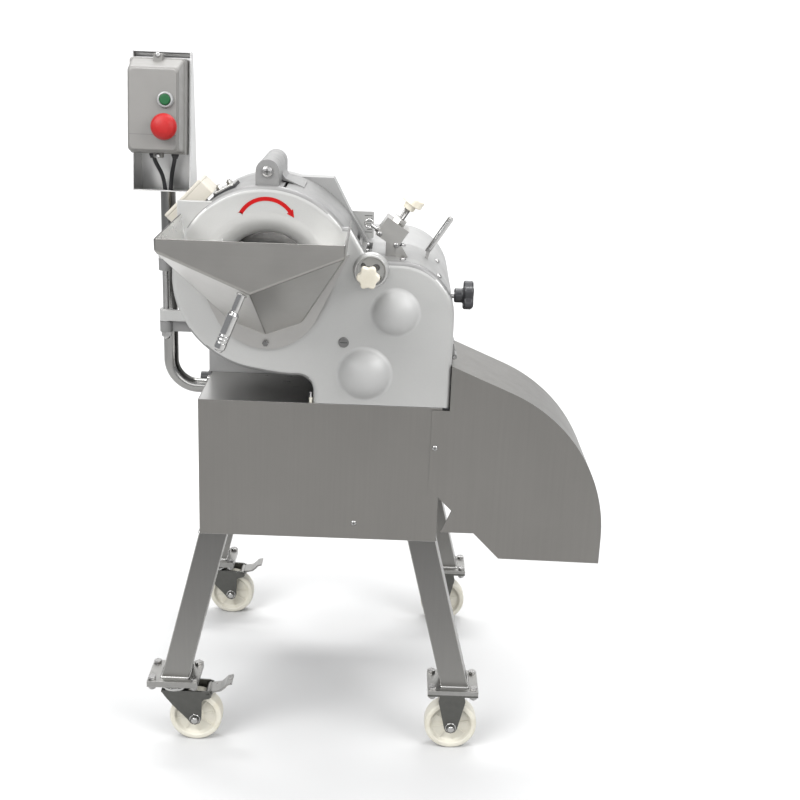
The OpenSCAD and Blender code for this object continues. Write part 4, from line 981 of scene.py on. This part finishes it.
# ------------------------------------------------------------ control box
def control():
    place = lambda x, z, h: LOC(x, h, z)
    bm = bmesh.new()
    # bottom flange, tapered body and raised face; each level is its own outline
    n = 6
    rows = [
        (-20.05, rrect(-49.5, 44.5, 64, 222, 5, n)),
        (-23.4, rrect(-49.5, 44.5, 64, 222, 5, n)),
        (-24.2, rrect(-48.7, 43.7, 64.8, 221.2, 5, n)),
        (-24.6, rrect(-47.6, 42.6, 65.4, 219.8, 6, n)),
        (-60.5, rrect(-45.1, 40.6, 66.0, 205.8, 8, n)),
        (-63.0, rrect(-44.4, 39.9, 66.8, 204.6, 8, n)),
        (-64.2, rrect(-43.0, 38.5, 68.2, 202.8, 8, n)),
        (-64.5, rrect(-42.4, 37.9, 69.2, 202.0, 8, n)),
        (-66.6, rrect(-42.2, 37.7, 69.4, 201.8, 8, n)),
        (-67.7, rrect(-41.2, 36.7, 70.4, 200.8, 7.5, n)),
        (-68.0, rrect(-40.0, 35.5, 71.6, 199.6, 7, n)),
    ]
    loops = [[bm.verts.new(place(x, z, h)) for x, z in pts] for h, pts in rows]
    for a, b in zip(loops, loops[1:]):
        for i in range(len(a)):
            j = (i + 1) % len(a)
            bm.faces.new((a[i], a[j], b[j], b[i]))
    bm.faces.new(loops[-1])
    bm.faces.new(loops[0][::-1])
    # screw ears
    for z0, z1 in ((213, 229), (57, 73)):
        loft(bm, rrect(-8, 8, z0, z1, 2.5, 3), rounded_levels(-20.05, -34, 0, 1.6, 3), place)
    make("control_cover", bm, [BOXGREY], "machine_frame", "control_lid", sharp=50)
    bm = bmesh.new()
    for z in (226, 60):
        lathe(bm, LOC(0, -34, z), LOC(0, -1, 0) - LOC(0, 0, 0), soft([(4.2, -0.3), (4.2, 1.0), (3.2, 2.0), (0, 2.2)], 0.7, 3), 24, cap=False)
    make("control_cover_screws", bm, [MACHINED], "machine_frame", sharp=45)
    bm = bmesh.new()
    ax = LOC(0, -1, 0) - LOC(0, 0, 0)
    # start button bezel
    lathe(bm, LOC(19, -68, 152), ax, soft([(9.1, -2), (9.1, 4.6), (10.0, 6.0), (12.4, 5.4), (13.5, 2.6), (13.5, -0.6)], 0.9, 3), 48, cap=False)
    make("start_bezel", bm, [BEZEL], "machine_frame", sharp=45)
    bm = bmesh.new()
    lathe(bm, LOC(19, 0, 152), ax, soft([(0, 52), (9, 52), (9, 75.4), (7.6, 76.7), (0, 77)], 1.2, 4), 44, cap=False)
    make("start_cap", bm, [GREEN], "start_push", "start_button", sharp=45)
    bm = bmesh.new()
    lathe(bm, LOC(19, 0, 108), ax, soft([(0, 50), (8, 50), (8, 78), (11.5, 79.2), (20.4, 79.4), (22, 81.5), (21.2, 86.4), (17.5, 91.4), (11, 94.6), (5, 95.7), (0, 96)], 1.6, 4), 56, cap=False)
    make("stop_mushroom", bm, [RED], "stop_push", "stop_button", sharp=50)
    # seam line of the lower panel: a narrow dark groove strip set in the face
    bm = bmesh.new()
    loft(bm, [(-41.6, 94.4), (37.1, 94.4), (37.1, 95.3), (-41.6, 95.3)], [(0, -67.0), (0, -68.06)], place)
    make("control_cover_seam", bm, [plastic("seam_grey", (0.10, 0.098, 0.094), 0.6)], "machine_frame", sharp=40)
    # cables from the box into the pipe
    bm = bmesh.new()

    def bez(a, b, c, d, t):
        return a * (1 - t) ** 3 + b * 3 * t * (1 - t) ** 2 + c * 3 * t * t * (1 - t) + d * t ** 3

    for a, b, c, d in (
        ((-14, -4, 74), (-14, -4, 36), (-1.6, 45, 46), (-1.6, 45, -14)),
        ((24, -4, 74), (24, -4, 36), (7.6, 45, 46), (7.6, 45, -14)),
    ):
        pts = [LOC(*bez(Vector(a), Vector(b), Vector(c), Vector(d), k / 28)) for k in range(29)]
        tube(bm, pts, 0.0035, 18)
    make("control_leads", bm, [RUBBER], "machine_frame", "control_cables", sharp=60)
    bm = bmesh.new()
    for x in (-14, 24):
        c = LOC(x, -4, 64)
        lathe(bm, c, LOC(0, 0, -1) - LOC(0, 0, 0), soft([(3.62, -1), (6.4, -1), (6.4, 3.4), (5.0, 4.6), (4.6, 7.5), (3.62, 7.8)], 0.5, 2), 24, cap=False)
    make("control_lead_grommets", bm, [RUBBER], "machine_frame", sharp=50)


control()


# -------------------------------------------------------------- interlock
def polar(a, x, y, z):
    a = math.radians(a)
    return P(DX + x * math.cos(a) - z * math.sin(a), y, DZ + x * math.sin(a) + z * math.cos(a))


def interlock():
    bm = bmesh.new()
    loft(bm, rrect(30, 96, -39, 49, 3.5, 4), rounded_levels(164, 189.6, 0.8, 0.8, 3), lambda y, z, h: polar(136.5, h, y, z))
    loft(bm, rrect(30, 96, -39, 49, 3.5, 4), rounded_levels(190.2, 196, 0.8, 2.6, 4), lambda y, z, h: polar(136.5, h, y, z))
    loft(bm, rrect(31, 95, -38, 48, 3.0, 4), [(0, 189), (0, 191)], lambda y, z, h: polar(136.5, h, y, z), cap0=False, cap1=False)
    make("interlock_case", bm, [CREAM_CASE_SHADED], "machine_frame", "interlock_switch", sharp=40)
    bm = bmesh.new()
    loft(bm, rrect(34, 92, -24, 14.5, 4, 4), rounded_levels(163.05, 166.5, 0.4, 0.8, 3), lambda y, z, h: polar(119.3, h, y, z))
    ax = polar(119.3, 1, 0, 0) - polar(119.3, 0, 0, 0)
    for z in (-15, 5):
        hexa = [(63 + 5.77 * math.cos(math.radians(60 * k)), z + 5.77 * math.sin(math.radians(60 * k))) for k in range(6)]
        loft(bm, hexa, [(0, 166.55), (0, 171.2), (0.7, 172)], lambda y, q, h: polar(119.3, h, y, q))
        lathe(bm, polar(119.3, 166, 63, z), ax, soft([(2.9, 5), (2.9, 8.2), (2.2, 8.8), (0, 8.8)], 0.4, 2), 20, cap=False)
    make("interlock_clamp_plate", bm, [STEEL_EDGE], "machine_frame", "interlock_plate", sharp=40)
    bm = bmesh.new()
    for a, z0, z1, top in ((119.3, -25, 15, 163.0), (136.5, -10, 40, 163.97)):
        cols = []
        for k in range(13):
            z = z0 + (z1 - z0) * k / 12
            inner = math.sqrt(160.05 ** 2 - z * z)
            cols.append([bm.verts.new(polar(a, q, y, z)) for q, y in ((inner, 33.5), (top, 33.5), (top, 92.5), (inner, 92.5))])
        for p, q in zip(cols, cols[1:]):
            for i in range(4):
                j = (i + 1) % 4
                bm.faces.new((p[i], p[j], q[j], q[i]))
        bm.faces.new(cols[0][::-1])
        bm.faces.new(cols[-1])
    make("interlock_gaskets", bm, [RUBBER], "machine_frame", sharp=40)


interlock()


# ------------------------------------------------------- screws and beads
def cross_screw(bm, c, axis, r, h, seg=28):
    """low dome with a cross recess cut as a well in the dark steel: painted shade in the recess"""
    u, v, a = basis(axis)
    lathe(bm, c, axis, soft([(r, -0.1), (r, h * 0.35), (r * 0.72, h * 0.85), (0, h)], r * 0.18, 4), seg, cap=False)
    for du, dv in ((u, v), (v, u)):
        w, l = r * 0.13, r * 0.58
        q = [c + (du * sx * l + dv * sy * w) * MM + a * ((h + 0.08) * MM) for sx, sy in ((-1, -1), (1, -1), (1, 1), (-1, 1))]
        lo = [p - a * (0.5 * MM) for p in q]
        qv = [bm.verts.new(p) for p in q]
        lv = [bm.verts.new(p) for p in lo]
        f = bm.faces.new(qv)
        f.material_index = 1
        for i in range(4):
            j = (i + 1) % 4
            g = bm.faces.new((lv[i], lv[j], qv[j], qv[i]))
            g.material_index = 1


def fasteners():
    bm = bmesh.new()
    for x, z in ((-54, 470.6),):
        cross_screw(bm, P(x, 0, z), (0, -1, 0), 5.0, 2.6)
    for x, z in ((85, 620),):
        cross_screw(bm, P(x, -2, z), (0, -1, 0), 5.0, 2.6)
    for x, z in ((-292, 475), (56, 475), (-292, 660), (56, 660)):
        cross_screw(bm, P(x, 577, z), (0, 1, 0), 5.0, 2.6)
    for x, z in ((-323, 712), (95, 712), (-289, 1005), (-138, 1003), (66, 917)):
        cross_screw(bm, P(x, 370, z), (0, 1, 0), 5.5, 2.8)
    make("panel_screws", bm, [MACHINED, DARKSTEEL_AND_SHADE], "machine_frame", "cover_screws", sharp=45)
    bm = bmesh.new()
    for ang, y in ((88, 24), (46, 24), (88, 150), (46, 150)):
        a = math.radians(ang)
        cross_screw(bm, P(12.5 + 95 * math.cos(a), y, 854 + 95 * math.sin(a)), (math.cos(a), 0, math.sin(a)), 5.2, 3.6)
    make("hood_dome_screws", bm, [MACHINED, DARKSTEEL_AND_SHADE], "side_hood", "hood_screws", sharp=45)
    # door plug with its slot drawn as a black mark (painted shadow in the slot), and flange bolt
    bm = bmesh.new()
    lathe(bm, P(-80, 0, 806), (0, -1, 0), soft([(9, -0.2), (9, 1.5), (8.2, 2.0), (0, 2.0)], 0.5, 3), 36, cap=False)
    q = [P(-80 + sx * 6.2, -2.06, 806 + sz * 0.7) for sx, sz in ((-1, -1), (1, -1), (1, 1), (-1, 1))]
    f = bm.faces.new([bm.verts.new(p) for p in q])
    f.material_index = 1
    hexa = [(DX + 5.4 * math.cos(math.radians(60 * k)), 801.7 + 5.4 * math.sin(math.radians(60 * k))) for k in range(6)]
    loft(bm, hexa, [(0, -6.02), (0, -11.2), (0.8, -12)], lambda x, z, h: P(x, h, z))
    make("door_plug_and_bolt", bm, [DARKSTEEL_AND_SHADE, INK_AND_SLOT_SHADE], "front_door", "door_bolts", sharp=40)
    # slotted end of the gate pin
    bm = bmesh.new()
    cross_screw(bm, P(DX, 7.5, 1090), (0, -1, 0), 8.4, 2.2, 40)
    make("gate_pin_head", bm, [MACHINED, DARKSTEEL_AND_SHADE], "machine_frame", sharp=45)
    # darker plate over the front of the gate lug
    bm = bmesh.new()
    face = arc(DX, 1090, 19.1, 0, 180, 28) + [(DX - 19.1, 1066.2), (DX + 19.1, 1066.2)]
    loft(bm, face, [(0, 11.2), (0, 10.9), (0.5, 10.55)], lambda x, z, h: P(x, h, z))
    make("gate_lug_face", bm, [LUG], "machine_frame", sharp=50)
    # screws in the clamp block
    bm = bmesh.new()
    for x in (-17.0, 17.0):
        cross_screw(bm, CLAMP(x, 40, -13.2), (0, -1, 0), 4.6, 3.0)
    lathe(bm, CLAMP(22, 62, -12.2), CLAMP(1, 0, 0) - CLAMP(0, 0, 0), soft([(4.4, -0.2), (4.4, 4.2), (3.4, 5.4), (0, 5.6)], 0.8, 3), 28, mat=2, cap=False)
    make("clamp_block_screws", bm, [MACHINED, DARKSTEEL_AND_SHADE, BLACK], "side_hood", sharp=45)
    # door bumper, the stop stud beside the notch, and the seal behind the door edge
    bm = bmesh.new()
    loft(bm, rrect(95.6, 106.8, 1.0, 9.0, 1.5, 4), rounded_levels(694.48, 690.9, 0.3, 0.9, 3), lambda x, y, h: P(x, y, h))
    make("door_bumper", bm, [RUBBER], "front_door", sharp=45)
    bm = bmesh.new()
    lathe(bm, P(-135.2, 8, 694.02), (0, 0, 1), soft([(0, 0), (2.9, 0), (2.9, 8.4), (2.3, 9.0), (0, 9.0)], 0.5, 3), 28, cap=False)
    prof = [(2.2, 8.6)]
    for k in range(6):
        prof += [(2.2, 9.2 + 1.5 * k), (1.85, 9.7 + 1.5 * k), (2.2, 10.2 + 1.5 * k)]
    prof += [(1.6, 18.5), (0, 18.5)]
    lathe(bm, P(-135.2, 8, 694.02), (0, 0, 1), prof, 24, mat=1, cap=False)
    make("door_stop_stud", bm, [NYLON, MACHINED], "machine_frame", sharp=40)
    bm = bmesh.new()
    path = [P(106.6, 10.3, 700), P(106.6, 10.3, 760), P(106.6, 10.3, 820)] + [P(x, 10.3, z) for x, z in arc(12.5, 854, 94.1, 0, 92, 40)]
    tube(bm, path, 0.00095, 8)
    make("hood_seal", bm, [RUBBER], "front_door", sharp=60)
    # lighter sheet laid on the cabinet top, beside the knife opening: painted light on the top face
    bm = bmesh.new()
    loft(bm, rrect(-329.5, -121, 1.5, 166, 2.0, 3), [(0, 694.03), (0, 694.25), (0.15, 694.32)], lambda x, y, h: P(x, y, h))
    make("cabinet_top_sheet", bm, [STEEL_TOP_LIT], "machine_frame", sharp=40)
    # weld beads round the leg tops and the leg feet
    bm = bmesh.new()

    def bead(corners, r, pitch=3.2):
        pts, rad = [], []
        n = len(corners)
        for i in range(n):
            a, b = Vector(corners[i]), Vector(corners[(i + 1) % n])
            m = max(2, int((b - a).length / pitch))
            for k in range(m * 2):
                t = k / (m * 2)
                pts.append(P(*(a + (b - a) * t)))
                rad.append((r + (0.45 if k % 2 else -0.25)) * MM)
        pts.append(pts[0])
        rad.append(rad[0])
        tube(bm, pts, rad, 8, cap=False)

    for xt, xb, y in ((-307, -382, 30), (-307, -382, 545), (69, 145, 30), (69, 145, 545)):
        w = 25.75
        bead([(xt - w, y - 25, 439), (xt + w, y - 25, 439), (xt + w, y + 25, 439), (xt - w, y + 25, 439)], 1.7)
        bead([(xb - w, y - 25, 139), (xb + w, y - 25, 139), (xb + w, y + 25, 139), (xb - w, y + 25, 139)], 1.9)
    make("leg_weld_beads", bm, [CHROME], "machine_frame", sharp=0)
    # scale marks
    bm = bmesh.new()
    for i in range(7):
        x0 = -55 if i % 3 == 0 else -50
        z = 962.5 + 5 * i
        q = [P(x, 195.93, zz) for x, zz in ((x0, z - 0.5), (-41, z - 0.5), (-41, z + 0.5), (x0, z + 0.5))]
        bm.faces.new([bm.verts.new(p) for p in q])
    make("scale_marks", bm, [INK_AND_SLOT_SHADE], "machine_frame", sharp=0)


fasteners()
